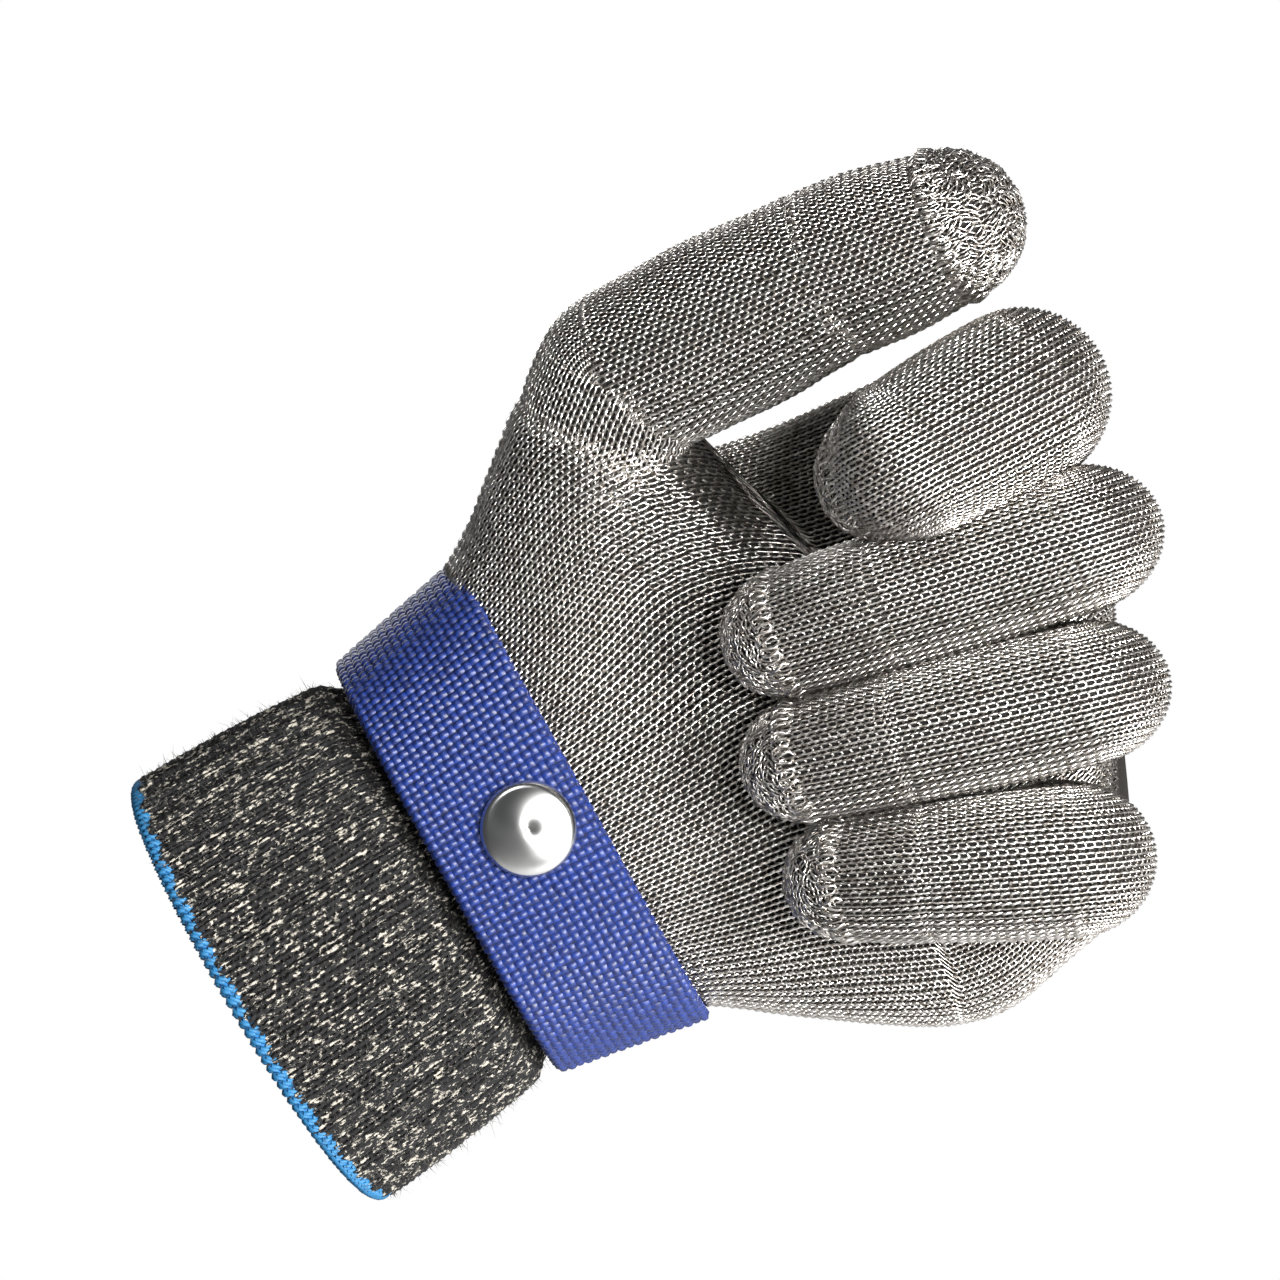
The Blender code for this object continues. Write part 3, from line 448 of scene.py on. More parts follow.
hand_rows = int((HAND_LENGTH + KNUCKLE_RADIUS * math.pi / 2) / STITCH_HEIGHT)
part_wales = HAND_WALES // len(HAND_PIECES)
for number, name in enumerate(HAND_PIECES):
    base = cloth_grid(name, hand_point(number * part_wales), part_wales, hand_rows)
    knit(base, part_wales, hand_rows, seed=number + 3)
    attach(base, "hand")
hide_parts("mesh_hand", "liner_hand", "mesh_index_knuckle_bend", "mesh_middle_knuckle_bend")
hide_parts("mesh_ring_knuckle_bend", "mesh_little_knuckle_bend", "mesh_thumb_root_bend")


# Fingers and thumb: each is one knitted tube, closed by a gathered cap.  A digit is stiff lengths of tube
# with a rounded knuckle between them, so that it stays whole as it opens; rows fan out over a knuckle's back.

# Half widths and half depths at the joints and tip, the tip's length, how far the tube sits off the hinge
# line towards the thumb, and how much it swells between knuckles
DIGITS = {
    "index": ((11.2, 12.0, 11.0, 8.8), (11.4, 12.0, 10.6, 8.8), 15.5, -1.2, 0.03),
    "middle": ((9.6, 9.7, 9.2, 8.6), (11.0, 11.2, 10.2, 9.0), 24.5, 0.0, 0.03),
    "ring": ((9.4, 9.5, 9.0, 8.3), (10.9, 11.0, 10.0, 8.8), 24.0, 0.0, 0.03),
    "little": ((10.0, 10.3, 9.4, 8.3), (10.6, 10.8, 9.8, 8.6), 21.0, -0.4, 0.03),
    "thumb": ((11.0, 12.3, 12.0, 10.4), (11.0, 12.3, 12.0, 10.4), 29.3, 0.0, 0.04),
}
PARTS = {"thumb": ("root", "proximal", "tip")}
POLE_ROOM = 1.6  # no loop fits nearer than this to the hinge line at a knuckle's side
KNUCKLE_SINK = 0.12  # the knuckle's fabric lies this far under the tubes it runs into
PALM_CUT = 0.3  # the palm side is cut back by at most this share of its depth: the open hand shows no gap
CUT_ROOM = 0.35  # loops stay this far from the cut
STRAIGHT = 0.15  # a bend under this many radians has no rows of its own over the back
FIRST_KNUCKLE_COVER = 1.4  # radians of rounding behind a finger's first knuckle, mostly inside the hand
joints = {joint["name"]: joint for joint in frame["joints"]}


def digit_bones(name):
    """The three lengths of a digit at rest: where each starts, its directions, length and bends."""
    labels = ("root", "knuckle", "end") if name == "thumb" else ("knuckle", "middle", "end")
    hinges = [joints[f"{name}_{label}"] for label in labels]
    starts = [np.array(hinge["pos_m"]) / MM for hinge in hinges]
    side = np.array(hinges[1]["axis"])
    side /= np.linalg.norm(side)
    before = np.cross(side, (0.0, 1.0, 0.0)) * -1.0
    alongs = [starts[1] - starts[0], starts[2] - starts[1]]
    alongs = [along / np.linalg.norm(along) for along in alongs]
    bend = math.radians(hinges[2]["range_deg"][1])
    alongs.append(np.array(Matrix.Rotation(-bend, 3, Vector(side)) @ Vector(alongs[1])))
    if name == "thumb":
        before = alongs[0]
    lengths = [np.linalg.norm(two - one) for one, two in zip(starts, starts[1:])] + [DIGITS[name][2]]
    chain = [before] + alongs
    bends = [math.acos(min(1.0, float(one @ two))) for one, two in zip(chain, chain[1:])] + [0.0]
    bones = []
    for i in range(3):
        along = alongs[i]
        bones.append({
            "start": starts[i], "along": along, "side": side, "back": np.cross(side, along),
            "length": lengths[i], "bends": (bends[i], bends[i + 1]),
        })
    return bones


def tube(name, bone, sizes, wales, length, shift, swell):
    """A length of knitted tube between two knuckles, cut back on its palm side to make room for bends."""
    (width_0, depth_0), (width_1, depth_1) = sizes
    rows = max(2, int(round(length / STITCH_HEIGHT)))
    row_height = length / rows

    def offsets(u, v):
        turn = -2.0 * math.pi * u / wales
        share = np.clip(v / rows, -0.1, 1.1)
        grow = 1.0 + swell * np.sin(math.pi * np.clip(v / rows, 0.0, 1.0))
        across = (width_0 + (width_1 - width_0) * share) * grow * np.cos(turn) + shift
        return across, (depth_0 + (depth_1 - depth_0) * share) * grow * np.sin(turn)

    def point(u, v):
        across, over = offsets(u, v)
        places = bone["start"] + (v * row_height)[..., None] * bone["along"]
        places = places + across[..., None] * bone["side"] + over[..., None] * bone["back"]
        ends = np.sin(math.pi * np.clip(v / rows, 0.0, 1.0))
        return places + (uneven(places, 0.18) * ends)[..., None] * bone["back"]

    def keep(u, v):
        _, over = offsets(u, v)
        inward = np.maximum(0.0, -over)
        begin = v * row_height - inward * min(PALM_CUT, math.tan(bone["bends"][0] / 2.0))
        end = length - inward * min(PALM_CUT, math.tan(bone["bends"][1] / 2.0)) - v * row_height
        return np.where(inward > 0.5, np.minimum(begin, end) - CUT_ROOM, 1.0)

    return knit(cloth_grid(name, point, wales, rows, keep=keep), wales, rows, seed=len(name))


def knuckle(name, bone, after, size, wales, shift, palm=True):
    """The rounded fabric over a knuckle: rows turn about the hinge, wales carry on from tube to tube."""
    width, depth = size[0] - KNUCKLE_SINK, size[1] - KNUCKLE_SINK
    bend = bone["bends"][1]
    over_back = max(1, int(round(bend * depth / STITCH_HEIGHT)))
    row_turn = bend / over_back if bend > STRAIGHT else STITCH_HEIGHT / depth
    rows = int(math.ceil((math.pi + bend / 2.0) / row_turn)) if palm else over_back + 1
    half = wales // 2

    def point(u, v):
        turn = -2.0 * math.pi * (u + half) / wales
        rolled = (v * row_turn)[..., None]
        back = np.cos(rolled) * bone["back"] + np.sin(rolled) * bone["along"]
        across = width * np.cos(turn) + shift
        return after["start"] + across[..., None] * bone["side"] + (depth * np.sin(turn))[..., None] * back

    def keep(u, v):
        # rows that would lie inside the next tube at every bend are left out
        rolled = v * row_turn
        hidden = (rolled > bend + 0.6 * row_turn) & (rolled < math.pi - bend / 2.0 - 0.6 * row_turn)
        return np.where(hidden, -1.0, depth * np.abs(np.sin(2.0 * math.pi * (u + half) / wales)) - POLE_ROOM)

    return knit(cloth_grid(name, point, half, rows, keep=keep), half, rows, seed=len(name) + 5)


def cap(name, bone, size, length, shift):
    """The gathered cap: the tube's last loops drawn together over the fingertip, crossing at all angles."""
    width, depth = size
    cells = int(math.ceil(math.pi * depth / (0.92 * STITCH_WIDTH))) + 1
    pitch = math.pi * depth / cells

    def point(u, v):
        x, y = (u - cells / 2.0) * pitch, (v - cells / 2.0) * pitch
        away = np.maximum(np.hypot(x, y), 1e-6)
        lean = away / depth
        places = bone["start"] + bone["along"] * (length - depth)
        places = places + (depth * np.cos(lean))[..., None] * bone["along"]
        places = places + (np.sin(lean) * width * y / away + shift)[..., None] * bone["side"]
        return places + (np.sin(lean) * depth * x / away)[..., None] * bone["back"]

    def keep(u, v):
        return math.pi / 2.0 * depth + 0.4 - np.hypot(u - cells / 2.0, v - cells / 2.0) * pitch

    base = cloth_grid(name, point, cells, cells, keep=keep)
    return knit(base, cells, cells, turn=0.9, lift=0.16, seed=len(name))


SEAM_HEIGHT = 1.9
SEAM_PROUD = 0.45  # the seam stands this far out of the tube
seam_loop = stitch_object("seam_loop", 2.0, SEAM_HEIGHT, 0.26, 0.4, 0.8, 0.2)


def seam(name, bone, size, length, shift):
    """The row of heavier loops that draws the cap shut."""
    width, depth = size
    wales = int(math.pi * (width + depth) / 2.0)

    def point(u, v):
        turn = -2.0 * math.pi * u / wales
        places = bone["start"] + (length - depth + (v - 0.5) * SEAM_HEIGHT)[..., None] * bone["along"]
        places = places + ((width + SEAM_PROUD) * np.cos(turn) + shift)[..., None] * bone["side"]
        return places + ((depth + SEAM_PROUD) * np.sin(turn))[..., None] * bone["back"]

    base = cloth_grid(name, point, wales, 1)
    return knit(base, wales, 1, stitch=seam_loop, turn=0.3, lift=0.12, depth=0.9, seed=2)


for digit, (widths, depths, _, shift, swell) in DIGITS.items():
    bones = digit_bones(digit)
    sizes = list(zip(widths, depths))
    wales = 2 * int(round(math.pi * sum(sizes[1]) / 2.0 / STITCH_WIDTH))
    if digit != "thumb":
        # the first knuckle stands out of the hand's edge, and stays with the hand as the finger opens
        bend = bones[0]["bends"][0] + FIRST_KNUCKLE_COVER
        turn = Matrix.Rotation(bend, 3, Vector(bones[0]["side"]))
        root = dict(bones[0], along=np.array(turn @ Vector(bones[0]["along"])), bends=(0.0, bend))
        root["back"] = np.cross(root["side"], root["along"])
        made = knuckle(f"{digit}_first_knuckle", root, bones[0], sizes[0], wales, shift, palm=False)
        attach(made, "hand")
    parts = PARTS.get(digit, ("proximal", "middle", "tip"))
    labels = ("knuckle_bend", "end_bend") if digit == "thumb" else ("middle_bend", "end_bend")
    for i, part in enumerate(parts):
        name = f"{digit}_{part}"
        bone = bones[i]
        if i < 2:
            pieces = [tube(name, bone, sizes[i : i + 2], wales, bone["length"], shift, swell)]
            pieces.append(knuckle(f"{name}_knuckle", bone, bones[i + 1], sizes[i + 1], wales, shift))
        else:
            straight = bone["length"] - sizes[3][1]
            pieces = [tube(name, bone, sizes[2:4], wales, straight, shift, swell)]
            pieces.append(cap(f"{name}_cap", bone, sizes[3], bone["length"], shift))
            pieces.append(seam(f"{name}_seam", bone, sizes[3], bone["length"], shift))
        made = joined(name, pieces)
        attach(made, f"{digit}_{part}")
        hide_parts(f"mesh_{digit}_{part}")
        if i < 2:
            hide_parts(f"mesh_{digit}_{labels[i]}")
        else:
            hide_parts(f"tip_seam_{digit}")
        if i == 0:
            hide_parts(f"liner_{digit}")


# The liner glove's cuff: a double-thickness rib knitted from black yarn with pale cut-resistant fibre twisted
# in, so that every loop is flecked.  It stretches over the hand and grips the wrist below the steel.

CUFF_WALES = 132
CUFF_WALE = 1.44
CUFF_ROW = 1.14
CUFF_YARN = 0.33
RIB_WALES = 4  # two wales out and two in
RIB_DEPTH = 0.5
CUFF_POWER = 2.15
CUFF_LENGTH = 34.0  # from the mouth to under the strap
CUFF_START = -2.0
CUFF_MOUTH = (34.4, 25.4, 0.8)  # half width, half depth and middle at the mouth
CUFF_TOP = (31.2, 23.4, 3.0)  # the same under the strap, before the strap draws it in
CUFF_SWELL = 0.5
CUFF_NECK = 3.0  # how far the strap draws it in
NECK_START = 0.82  # where that starts, and how far it runs, as shares of the cuff's length
NECK_RUN = 0.16


def cuff_place(turn, share, grow):
    """A place on the cuff: turn in radians from the palm's middle, share from mouth to strap, grow out."""
    neck = np.clip((share - NECK_START) / NECK_RUN, 0.0, 1.0)
    swell = CUFF_SWELL * np.sin(math.pi * share) - CUFF_NECK * neck * neck * (3.0 - 2.0 * neck) + grow
    half_z, half_y, middle_z = (mouth + (top - mouth) * share for mouth, top in zip(CUFF_MOUTH, CUFF_TOP))
    half_z, half_y = half_z + swell, half_y + swell
    cos, sin = np.cos(turn), np.sin(turn)
    y = -half_y * np.sign(cos) * np.abs(cos) ** (2.0 / CUFF_POWER)
    z = middle_z + half_z * np.sign(sin) * np.abs(sin) ** (2.0 / CUFF_POWER)
    lean = (1.0 - share) * (1.6 - 0.03 * z + 0.1 * y)  # the mouth is cut a little aslant
    return np.stack((CUFF_START + CUFF_LENGTH * share + lean, y, z), axis=-1)


# Melange yarn: matt black cotton with bright flecks of glass and polyethylene fibre.  The flecks are drawn
# about 1.4 mm long and 0.7 mm thick, coarser than the real fibre, so that they show.
melange, melange_shader = new_material("black melange yarn", "#0C0C0E", 0.9)
tree = melange.node_tree
place = add_node(tree, "ShaderNodeTexCoord").outputs["Object"]
stretch = add_node(tree, "ShaderNodeMapping", {"Vector": place, "Scale": (700.0, 1500.0, 1500.0)}).outputs[0]
fleck = add_node(
    tree, "ShaderNodeTexNoise", {"Vector": stretch, "Scale": 1.0, "Detail": 3.0, "Roughness": 0.7}
)
shade = add_node(tree, "ShaderNodeValToRGB", {"Fac": fleck.outputs["Fac"]})
shade.color_ramp.elements[0].position = 0.55
shade.color_ramp.elements[0].color = colour("#0C0C0E")
shade.color_ramp.elements[1].position = 0.61
shade.color_ramp.elements[1].color = colour("#A8A296")
tree.links.new(shade.outputs["Color"], melange_shader.inputs["Base Color"])

yarn_loop = stitch_object("yarn_loop", CUFF_WALE, CUFF_ROW, CUFF_YARN, 0.22, 0.78, 0.15)
cuff_rows = int(CUFF_LENGTH / CUFF_ROW)
for number, name in enumerate(("cuff_back", "cuff_palm")):
    half = CUFF_WALES // 2

    def point(u, v, first=number * half):
        turn = math.pi / 2 - 2.0 * math.pi * (u + first) / CUFF_WALES + math.pi
        rib = RIB_DEPTH * np.cos(2.0 * math.pi * (u + first) / RIB_WALES) - 0.4
        return cuff_place(turn, v / cuff_rows, rib)

    base = cloth_grid(name, point, half, cuff_rows)
    knit(
        base, half, cuff_rows, stitch=yarn_loop, wire=melange,
        turn=0.12, lift=0.08, depth=0.35, seed=11 + number,
    )
    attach(base, "hand")
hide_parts("liner_cuff")

# Loose fibre ends of the twisted yarn stand out all over the cuff, about a millimetre long.  They are grey
# and matt, and soften the cuff's outline.

FUZZ_HAIRS = 5200
HAIR_HALF_WIDTH = 0.045
hair_ends, _ = new_material("loose yarn fibre", "#3A3835", 0.9)
chance = np.random.default_rng(5)
verts, faces = [], []
for _ in range(FUZZ_HAIRS):
    turn, share = chance.uniform(0.0, 2.0 * math.pi), chance.uniform(-0.01, 0.97)
    root = cuff_place(np.array(turn), np.array(share), 0.1)
    out = cuff_place(np.array(turn), np.array(share), 1.1) - root
    sway = np.array([chance.normal() for _ in range(3)]) * 0.9
    length = chance.uniform(0.35, 1.1)
    wide = np.cross(out, sway)
    wide *= HAIR_HALF_WIDTH / max(np.linalg.norm(wide), 1e-6)
    middle = root + (out + 0.3 * sway) * length * 0.6
    tip = root + (out * 0.8 + sway) * length
    first = len(verts)
    hair = (root - wide, root + wide, middle - wide * 0.8, middle + wide * 0.8, tip)
    verts += [tuple(p * MM) for p in hair]
    faces += [(first, first + 1, first + 3, first + 2), (first + 2, first + 3, first + 4)]
mesh = bpy.data.meshes.new("cuff_fuzz")
mesh.from_pydata(verts, [], faces)
mesh.materials.append(hair_ends)
fuzz = placed("cuff_fuzz", mesh)
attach(fuzz, "hand")

# The cuff's inner face: the same rib seen from behind.  Its yarn is plain black and matt, in low ridges along
# the wales.
inside_yarn, inside_shader = new_material("black rib yarn", "#101012", 0.95)
tree = inside_yarn.node_tree
flat = add_node(tree, "ShaderNodeUVMap", uv_map="knit").outputs[0]
ridge = add_node(
    tree, "ShaderNodeTexWave", {"Vector": flat, "Scale": 10.0, "Distortion": 1.5, "Detail": 2.0},
    bands_direction="X",
)
relief = add_node(
    tree, "ShaderNodeBump", {"Height": ridge.outputs["Fac"], "Strength": 0.6, "Distance": 0.6 * MM}
)
tree.links.new(relief.outputs[0], inside_shader.inputs["Normal"])


def cuff_inside(u, v):
    turn = math.pi / 2 + 2.0 * math.pi * u / CUFF_WALES
    return cuff_place(turn, v / cuff_rows, -1.7 + 0.25 * np.cos(2.0 * math.pi * u / RIB_WALES))


inner = cloth_grid("cuff_inside", cuff_inside, CUFF_WALES, cuff_rows, margin=0.0)
inner.data.materials.append(inside_yarn)
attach(inner, "hand")


# The cuff's hem: sky-blue polyester thread overlocked round the raw edge, one slanted wrap beside the next.
# The spun thread has a low, soft sheen, over a core of the same blue.

HEM_WRAPS = 150
HEM_LENGTHS = 8  # lengths of thread in one wrap round the lip
HEM_RADIUS = 0.9
THREAD_RADIUS = 0.42
hem_thread, _ = new_material("sky-blue overlock thread", "#20648F", 0.6)
hem_core, _ = new_material("hem core", "#1D5F96", 0.9)


def hem_point(u, v):
    turn = -2.0 * math.pi * u / HEM_WRAPS
    lip = 2.0 * math.pi * v / HEM_LENGTHS
    ring = cuff_place(turn, np.zeros_like(turn), -1.0 + HEM_RADIUS * np.cos(lip))
    ring[..., 0] += -0.5 + HEM_RADIUS * np.sin(lip)
    return ring


def wrap_object():
    """One wrap of overlock thread: a short slanted length, a little proud in its middle."""
    points = [(0.55 * y, y, 0.12 * math.cos(y * math.pi)) for y in np.linspace(-0.62, 0.62, 4)]
    verts, faces = swept_wire(points, THREAD_RADIUS, 4, np.array((1.0 / 1.35, 1.0 / 0.9, MM)))
    return smooth_object("hem_wrap", verts, faces)


hem_wrap = wrap_object()
hem = cloth_grid("cuff_hem_thread", hem_point, HEM_WRAPS, HEM_LENGTHS)
knit(
    hem, HEM_WRAPS, HEM_LENGTHS, stitch=hem_wrap, wire=hem_thread, liner=hem_core,
    turn=0.06, lift=0.04, depth=0.1, seed=21,
)
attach(hem, "hand")
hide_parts("cuff_hem")


# The wrist strap: royal-blue polyester webbing, 22.5 mm wide and 1.3 mm thick, in a coarse basket weave.
# One length lies round the wrist; the other is sewn to it at the back and folds over the palm to the snap.

STRAP_START = 30.5
STRAP_WIDTH = 22.5
STRAP_POWER = 2.4  # how square the wrist's section is under it
WRIST_HALF_WIDTH = 29.9
WRIST_HALF_DEPTH = 21.8
WRIST_MIDDLE = 3.0
WRIST_FLARE = 4.3  # how much wider the wrist is at the strap's other edge
WEB_THICKNESS = 1.3
WEAVE_CELL = 2.5  # two threads each way
BAND_GROW = 1.6  # its outer face, out from the steel's outer face
TONGUE_GROW = 3.2
TONGUE_LIFT = 2.1
BAND_TURNS = (math.radians(-90.0), math.radians(270.0))  # where each length starts and ends round the wrist
TONGUE_TURNS = (math.radians(-84.0), math.radians(128.0))
SNAP_X = 44.0
SNAP_Z = 2.8

# Dyed polyester filament: deep blue with a slight sheen.  Its filaments are drawn about 0.7 mm apart, coarser
# than they are, so that they show; between the threads lies a nearly black sheet, painted shade for the gaps.
webbing, web_shader = new_material("royal-blue polyester webbing", "#0D2A70", 0.45)
tree = webbing.node_tree
place = add_node(tree, "ShaderNodeTexCoord").outputs["Object"]
fibre = add_node(tree, "ShaderNodeTexNoise", {"Vector": place, "Scale": 1400.0, "Detail": 2.0})
shade = add_node(tree, "ShaderNodeValToRGB", {"Fac": fibre.outputs["Fac"]})
shade.color_ramp.elements[0].position = 0.3
shade.color_ramp.elements[0].color = colour("#07133F")
shade.color_ramp.elements[1].position = 0.7
shade.color_ramp.elements[1].color = colour("#0D2A70")
tree.links.new(shade.outputs["Color"], web_shader.inputs["Base Color"])
# Painted shade: a nearly black sheet under the threads stands for the shade in the gaps between them
web_gap_painted_shade, _ = new_material("painted shade between webbing threads", "#070F2E", 0.9)


def pillow(centre, size, verts, faces, across=5, along=4):
    """The part of one thread that floats over its neighbour: a low rounded pillow."""
    first = len(verts)
    for j in range(along):
        for i in range(across):
            x, y = 2.0 * i / (across - 1) - 1.0, 2.0 * j / (along - 1) - 1.0
            rise = max(0.0, 1.0 - x * x) ** 0.5 * max(0.0, 1.0 - y * y * 0.9) ** 0.5
            height = (rise * size[2] - 0.12) * MM
            verts.append((centre[0] + size[0] * x, centre[1] + size[1] * y, height))
    for j in range(along - 1):
        for i in range(across - 1):
            k = first + j * across + i
            faces.append((k, k + 1, k + across + 1, k + across))


def weave_object():
    """One repeat of the weave: two threads each way, over and under in turn."""
    verts, faces = [], []
    for i in range(2):
        for j in range(2):
            centre = ((i - 0.5) * 0.5, (j - 0.5) * 0.5)
            size = (0.235, 0.29, 0.5) if (i + j) % 2 == 0 else (0.29, 0.235, 0.42)
            pillow(centre, size, verts, faces)
    return smooth_object("weave_cell", verts, faces)


weave_cell = weave_object()


def wrist_place(x, turn, grow, lift):
    """A place round the wrist: turn in radians from the middle of the palm towards the thumb side."""
    share = (x - STRAP_START) / STRAP_WIDTH
    half_z = WRIST_HALF_WIDTH + WRIST_FLARE * share + grow
    middle = WRIST_MIDDLE + 0.7 * share
    cos, sin = np.cos(turn), np.sin(turn)
    half_y = WRIST_HALF_DEPTH + grow + np.where(cos > 0.0, lift, 0.0)
    y = -half_y * np.sign(cos) * np.abs(cos) ** (2.0 / STRAP_POWER)
    z = middle + half_z * np.sign(sin) * np.abs(sin) ** (2.0 / STRAP_POWER)
    return np.stack((x, y, z), axis=-1)


def turns_by_length(first, last, grow, lift, steps=400):
    """Angles round the wrist between two angles, and the length walked along the strap to each."""
    turn = np.linspace(first, last, steps)
    places = wrist_place(np.full(steps, STRAP_START + STRAP_WIDTH / 2.0), turn, grow, lift)
    walked = np.concatenate(([0.0], np.cumsum(np.linalg.norm(np.diff(places, axis=0), axis=1))))
    return turn, walked


def web_edge(v, rows):
    """Across the webbing, round its rolled edges and a little way under it: how far over, and how deep."""
    half = WEB_THICKNESS / 2.0
    roll = math.pi * half - half
    over = v / rows * (STRAP_WIDTH + 2.0 * roll + 2.0) - 1.0 - roll
    low = np.clip((half - over) / half, 0.0, math.pi)
    high = np.clip((over - STRAP_WIDTH + half) / half, 0.0, math.pi)
    curl = np.maximum(low, high)
    inner = np.maximum(half - over - math.pi * half, over - STRAP_WIDTH + half - math.pi * half)
    tuck = np.maximum(inner, 0.0)
    near = half - half * np.sin(low) + tuck
    place = np.where(low > 0.0, near, STRAP_WIDTH - half + half * np.sin(high) - tuck)
    place = np.where((low == 0.0) & (high == 0.0), over, place)
    return place, half * (1.0 - np.cos(curl))


def web(name, first, last, grow, lift, closed):
    """A length of webbing between two angles round the wrist."""
    turn, walked = turns_by_length(first, last, grow, lift)
    across = STRAP_WIDTH + 4.0
    wales = int(round(walked[-1] / WEAVE_CELL))
    rows = int(round(across / WEAVE_CELL))

    def point(u, v):
        over, deep = web_edge(v, rows)
        length = (1.0 - u / wales) * walked[-1]
        if closed:
            length = length % walked[-1]
        past = np.maximum(0.0, np.maximum(-length, length - walked[-1]))
        angle = np.interp(length, walked, turn)
        return wrist_place(STRAP_START + over, angle, grow - deep - past, lift)

    made = cloth_grid(name, point, wales, rows, step=0.25)
    # under the threads lies a nearly black sheet: painted shade in the gaps of the weave
    return knit(
        made, wales, rows, stitch=weave_cell, wire=webbing, liner=web_gap_painted_shade,
        turn=0.0, lift=0.03, depth=0.06, seed=31,
    )


band = web("wrist_band", *BAND_TURNS, BAND_GROW, 0.0, True)
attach(band, "hand")
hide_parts("strap_band")

tongue = web("palm_strap", *TONGUE_TURNS, TONGUE_GROW, TONGUE_LIFT, False)
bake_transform(tongue)
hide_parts("strap_tongue", "strap_root")

# The box stitch that holds the strap's root to the band: heavy bonded thread, a brighter blue than the
# webbing, with a stitch about every 2.4 mm.

STITCH_PITCH = 2.4
STITCH_PROUD = 0.45
BOX_X = (33.6, 49.9)
BOX_TURN = (math.radians(100.0), math.radians(123.0))
box_thread, _ = new_material("blue bonded thread", "#27459F", 0.5)


def stitch_run(corners, pitch, grow):
    """Small arched stitches along straight runs between corners given as (x, angle)."""
    bm = bmesh.new()
    for (x_0, turn_0), (x_1, turn_1) in zip(corners, corners[1:]):
        ends = ((x_0, turn_0), (x_1, turn_1))
        one, two = (wrist_place(np.array(x), np.array(turn), grow, 0.0) for x, turn in ends)
        count = max(1, int(round(np.linalg.norm(two - one) / pitch)))
        for i in range(count):
            shares = [(i + 0.5 + k * 0.42) / count for k in (-1.0, -0.5, 0.0, 0.5, 1.0)]
            places = []
            for share, rise in zip(shares, (-0.3, 0.2, 0.3, 0.2, -0.3)):
                x, turn = x_0 + (x_1 - x_0) * share, turn_0 + (turn_1 - turn_0) * share
                places.append(wrist_place(np.array(x), np.array(turn), grow + rise, 0.0))
            verts, faces = swept_wire(places, 0.32, 6, MM)
            made = [bm.verts.new(v) for v in verts]
            for face in faces:
                bm.faces.new([made[k] for k in face])
    return bm


corners = [(BOX_X[i], BOX_TURN[j]) for i, j in ((0, 0), (1, 0), (1, 1), (0, 1), (0, 0))]
bm = stitch_run(corners, STITCH_PITCH, TONGUE_GROW + STITCH_PROUD)
mesh = bpy.data.meshes.new("box_stitches")
bm.to_mesh(mesh)
bm.free()
mesh.shade_smooth()
mesh.materials.append(box_thread)
box_stitches = placed("box_stitches", mesh)
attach(box_stitches, "hand")
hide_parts("strap_box_stitch")


# The press stud: stainless steel pressed from sheet.  Its cap is domed and polished on a lathe, which leaves
# fine rings round it and a small dimple at its middle; socket, stud and back plate are plain polished.

CAP_RADIUS = 6.75
CAP_HEIGHT = 2.1
CAP_SIDES = 96
DIMPLE_DEPTH = 0.12
polished, polished_shader = new_material("lathe-polished steel", "#CFCFCD", 0.26, metallic=1.0)
polished_shader.inputs["Anisotropic"].default_value = 0.75
tangent = add_node(polished.node_tree, "ShaderNodeTangent", direction_type="UV_MAP", uv_map="lathe")
polished.node_tree.links.new(tangent.outputs[0], polished_shader.inputs["Tangent"])
pressed, _ = new_material("pressed steel", "#C9C9C7", 0.25, metallic=1.0)


def snap_cap():
    """The cap's skin turned round the snap's own axis, from its rolled rim to the dimple."""
    profile = [(CAP_RADIUS - 0.9, 0.0), (CAP_RADIUS - 0.1, 0.0), (CAP_RADIUS, 0.25)]
    profile.append((CAP_RADIUS - 0.08, 0.55))
    for k in range(1, 15):
        radius = (CAP_RADIUS - 0.2) * (1.0 - k / 15.0)
        dome = 0.6 + (CAP_HEIGHT - 0.6) * math.sqrt(max(0.0, 1.0 - (radius / CAP_RADIUS) ** 2))
        profile.append((radius, dome - DIMPLE_DEPTH * math.exp(-((radius / 1.1) ** 2))))
    strap_face = -(WRIST_HALF_DEPTH + TONGUE_GROW + TONGUE_LIFT + 0.3)
    verts, uvs, faces = [], [], []
    for radius, height in profile:
        for i in range(CAP_SIDES + 1):
            turn = 2.0 * math.pi * i / CAP_SIDES
            spot = (SNAP_X + radius * math.cos(turn), strap_face - height, SNAP_Z + radius * math.sin(turn))
            verts.append([c * MM for c in spot])
            uvs.append((i / CAP_SIDES, radius / CAP_RADIUS))
    for j in range(len(profile) - 1):
        for i in range(CAP_SIDES):
            k = j * (CAP_SIDES + 1) + i
            faces.append((k, k + CAP_SIDES + 1, k + CAP_SIDES + 2, k + 1))
    last = (len(profile) - 1) * (CAP_SIDES + 1)
    verts.append([SNAP_X * MM, (strap_face - profile[-1][1] + 0.02) * MM, SNAP_Z * MM])
    uvs.append((0.5, 0.0))
    faces += [(last + i, len(verts) - 1, last + i + 1) for i in range(CAP_SIDES)]
    mesh = bpy.data.meshes.new("snap_cap_polished")
    mesh.from_pydata(verts, [], faces)
    lathe = mesh.uv_layers.new(name="lathe")
    for loop in mesh.loops:
        lathe.data[loop.index].uv = uvs[loop.vertex_index]
    mesh.shade_smooth()
    mesh.materials.append(polished)
    return placed("snap_cap_polished", mesh)


cap_skin = snap_cap()
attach(cap_skin, "strap_tongue")
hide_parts("snap_cap")
for node in ("snap_socket", "snap_stud", "snap_back_plate"):
    frame["nodes"][node].data.materials.clear()
    frame["nodes"][node].data.materials.append(pressed)

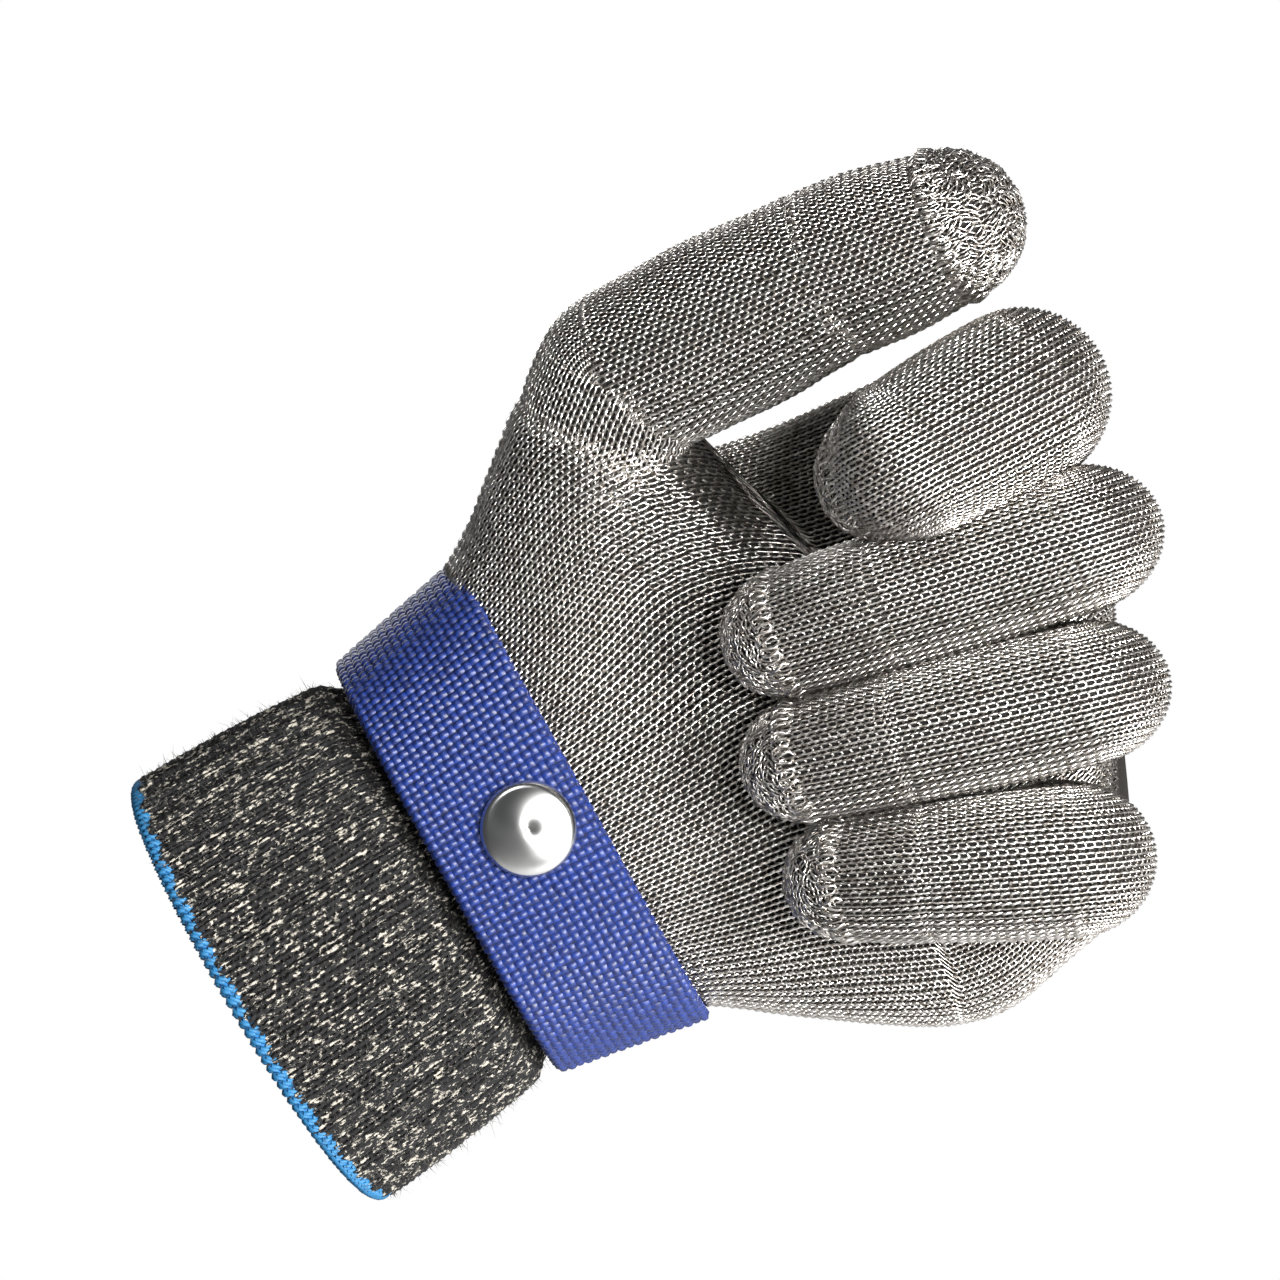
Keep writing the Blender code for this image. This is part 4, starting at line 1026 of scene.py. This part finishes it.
# The single loops, wraps and threads that everything was knitted from are no part of the glove
for helper in (wire_loop, seam_loop, yarn_loop, hem_wrap, weave_cell):
    bpy.data.objects.remove(helper, do_unlink=True)


# Studio: a white room with a pale floor well below the glove.  A strong soft light stands low beside the
# camera, with three weaker ones in front, above and behind.

CENTRE = Vector((70.2, 0.0, 18.2)) * MM
DISTANCE = 0.9
ROLL = math.radians(29.0)
SENSOR = 36.0
FRAME_WIDTH = 182.9 * MM
FLOOR_HALF = 2.4
FLOOR_HEIGHT = -0.6

camera_data = bpy.data.cameras.new("camera")
camera_data.sensor_width = SENSOR
camera_data.lens = SENSOR * DISTANCE / FRAME_WIDTH
camera = placed("camera", camera_data)
right = Vector((math.cos(ROLL), 0.0, -math.sin(ROLL)))
up = Vector((math.sin(ROLL), 0.0, math.cos(ROLL)))
camera.matrix_world = Matrix.Translation(CENTRE + Vector((0.0, -DISTANCE, 0.0))) @ Matrix(
    ((right.x, up.x, 0.0), (right.y, up.y, -1.0), (right.z, up.z, 0.0))
).to_4x4()
bpy.context.scene.camera = camera

floor_mesh = bpy.data.meshes.new("floor")
floor_signs = ((-1, -1), (1, -1), (1, 1), (-1, 1))
floor_corners = [(FLOOR_HALF * x, FLOOR_HALF * y, FLOOR_HEIGHT) for x, y in floor_signs]
floor_mesh.from_pydata(floor_corners, [], [(0, 1, 2, 3)])
floor = placed("floor", floor_mesh)
floor_paint, _ = new_material(
    "pale floor", "#F4F4F4", 0.9, Emission_Color=colour("#FFFFFF"), Emission_Strength=0.3
)
floor_mesh.materials.append(floor_paint)

world = bpy.data.worlds.new("white room")
bpy.context.scene.world = world
world.use_nodes = True
tree = world.node_tree
tree.nodes.clear()
seen = add_node(tree, "ShaderNodeLightPath").outputs["Is Camera Ray"]
room = add_node(tree, "ShaderNodeBackground", {"Color": (0.93, 0.95, 1.0, 1.0), "Strength": 0.09}).outputs[0]
sky = add_node(tree, "ShaderNodeBackground", {"Color": (1.0, 1.0, 1.0, 1.0), "Strength": 1.0}).outputs[0]
both = add_node(tree, "ShaderNodeMixShader", {0: seen, 1: room, 2: sky}).outputs[0]
add_node(tree, "ShaderNodeOutputWorld", {0: both})


def soft_light(name, place, size, power):
    """A round soft light turned towards the glove."""
    data = bpy.data.lights.new(name, "AREA")
    data.shape = "DISK"
    data.size = size
    data.energy = power
    light = placed(name, data)
    light.location = place
    light.rotation_euler = (CENTRE - Vector(place)).to_track_quat("-Z", "Y").to_euler()


soft_light("key", (0.62, -0.78, -0.24), 0.35, 24.0)
soft_light("front", (0.3, -1.0, -0.05), 0.14, 8.0)
soft_light("top", (0.1, -0.5, 0.8), 0.4, 2.0)
soft_light("back", (0.0, 1.0, 0.5), 0.8, 11.0)

bpy.context.scene.view_settings.view_transform = "Standard"
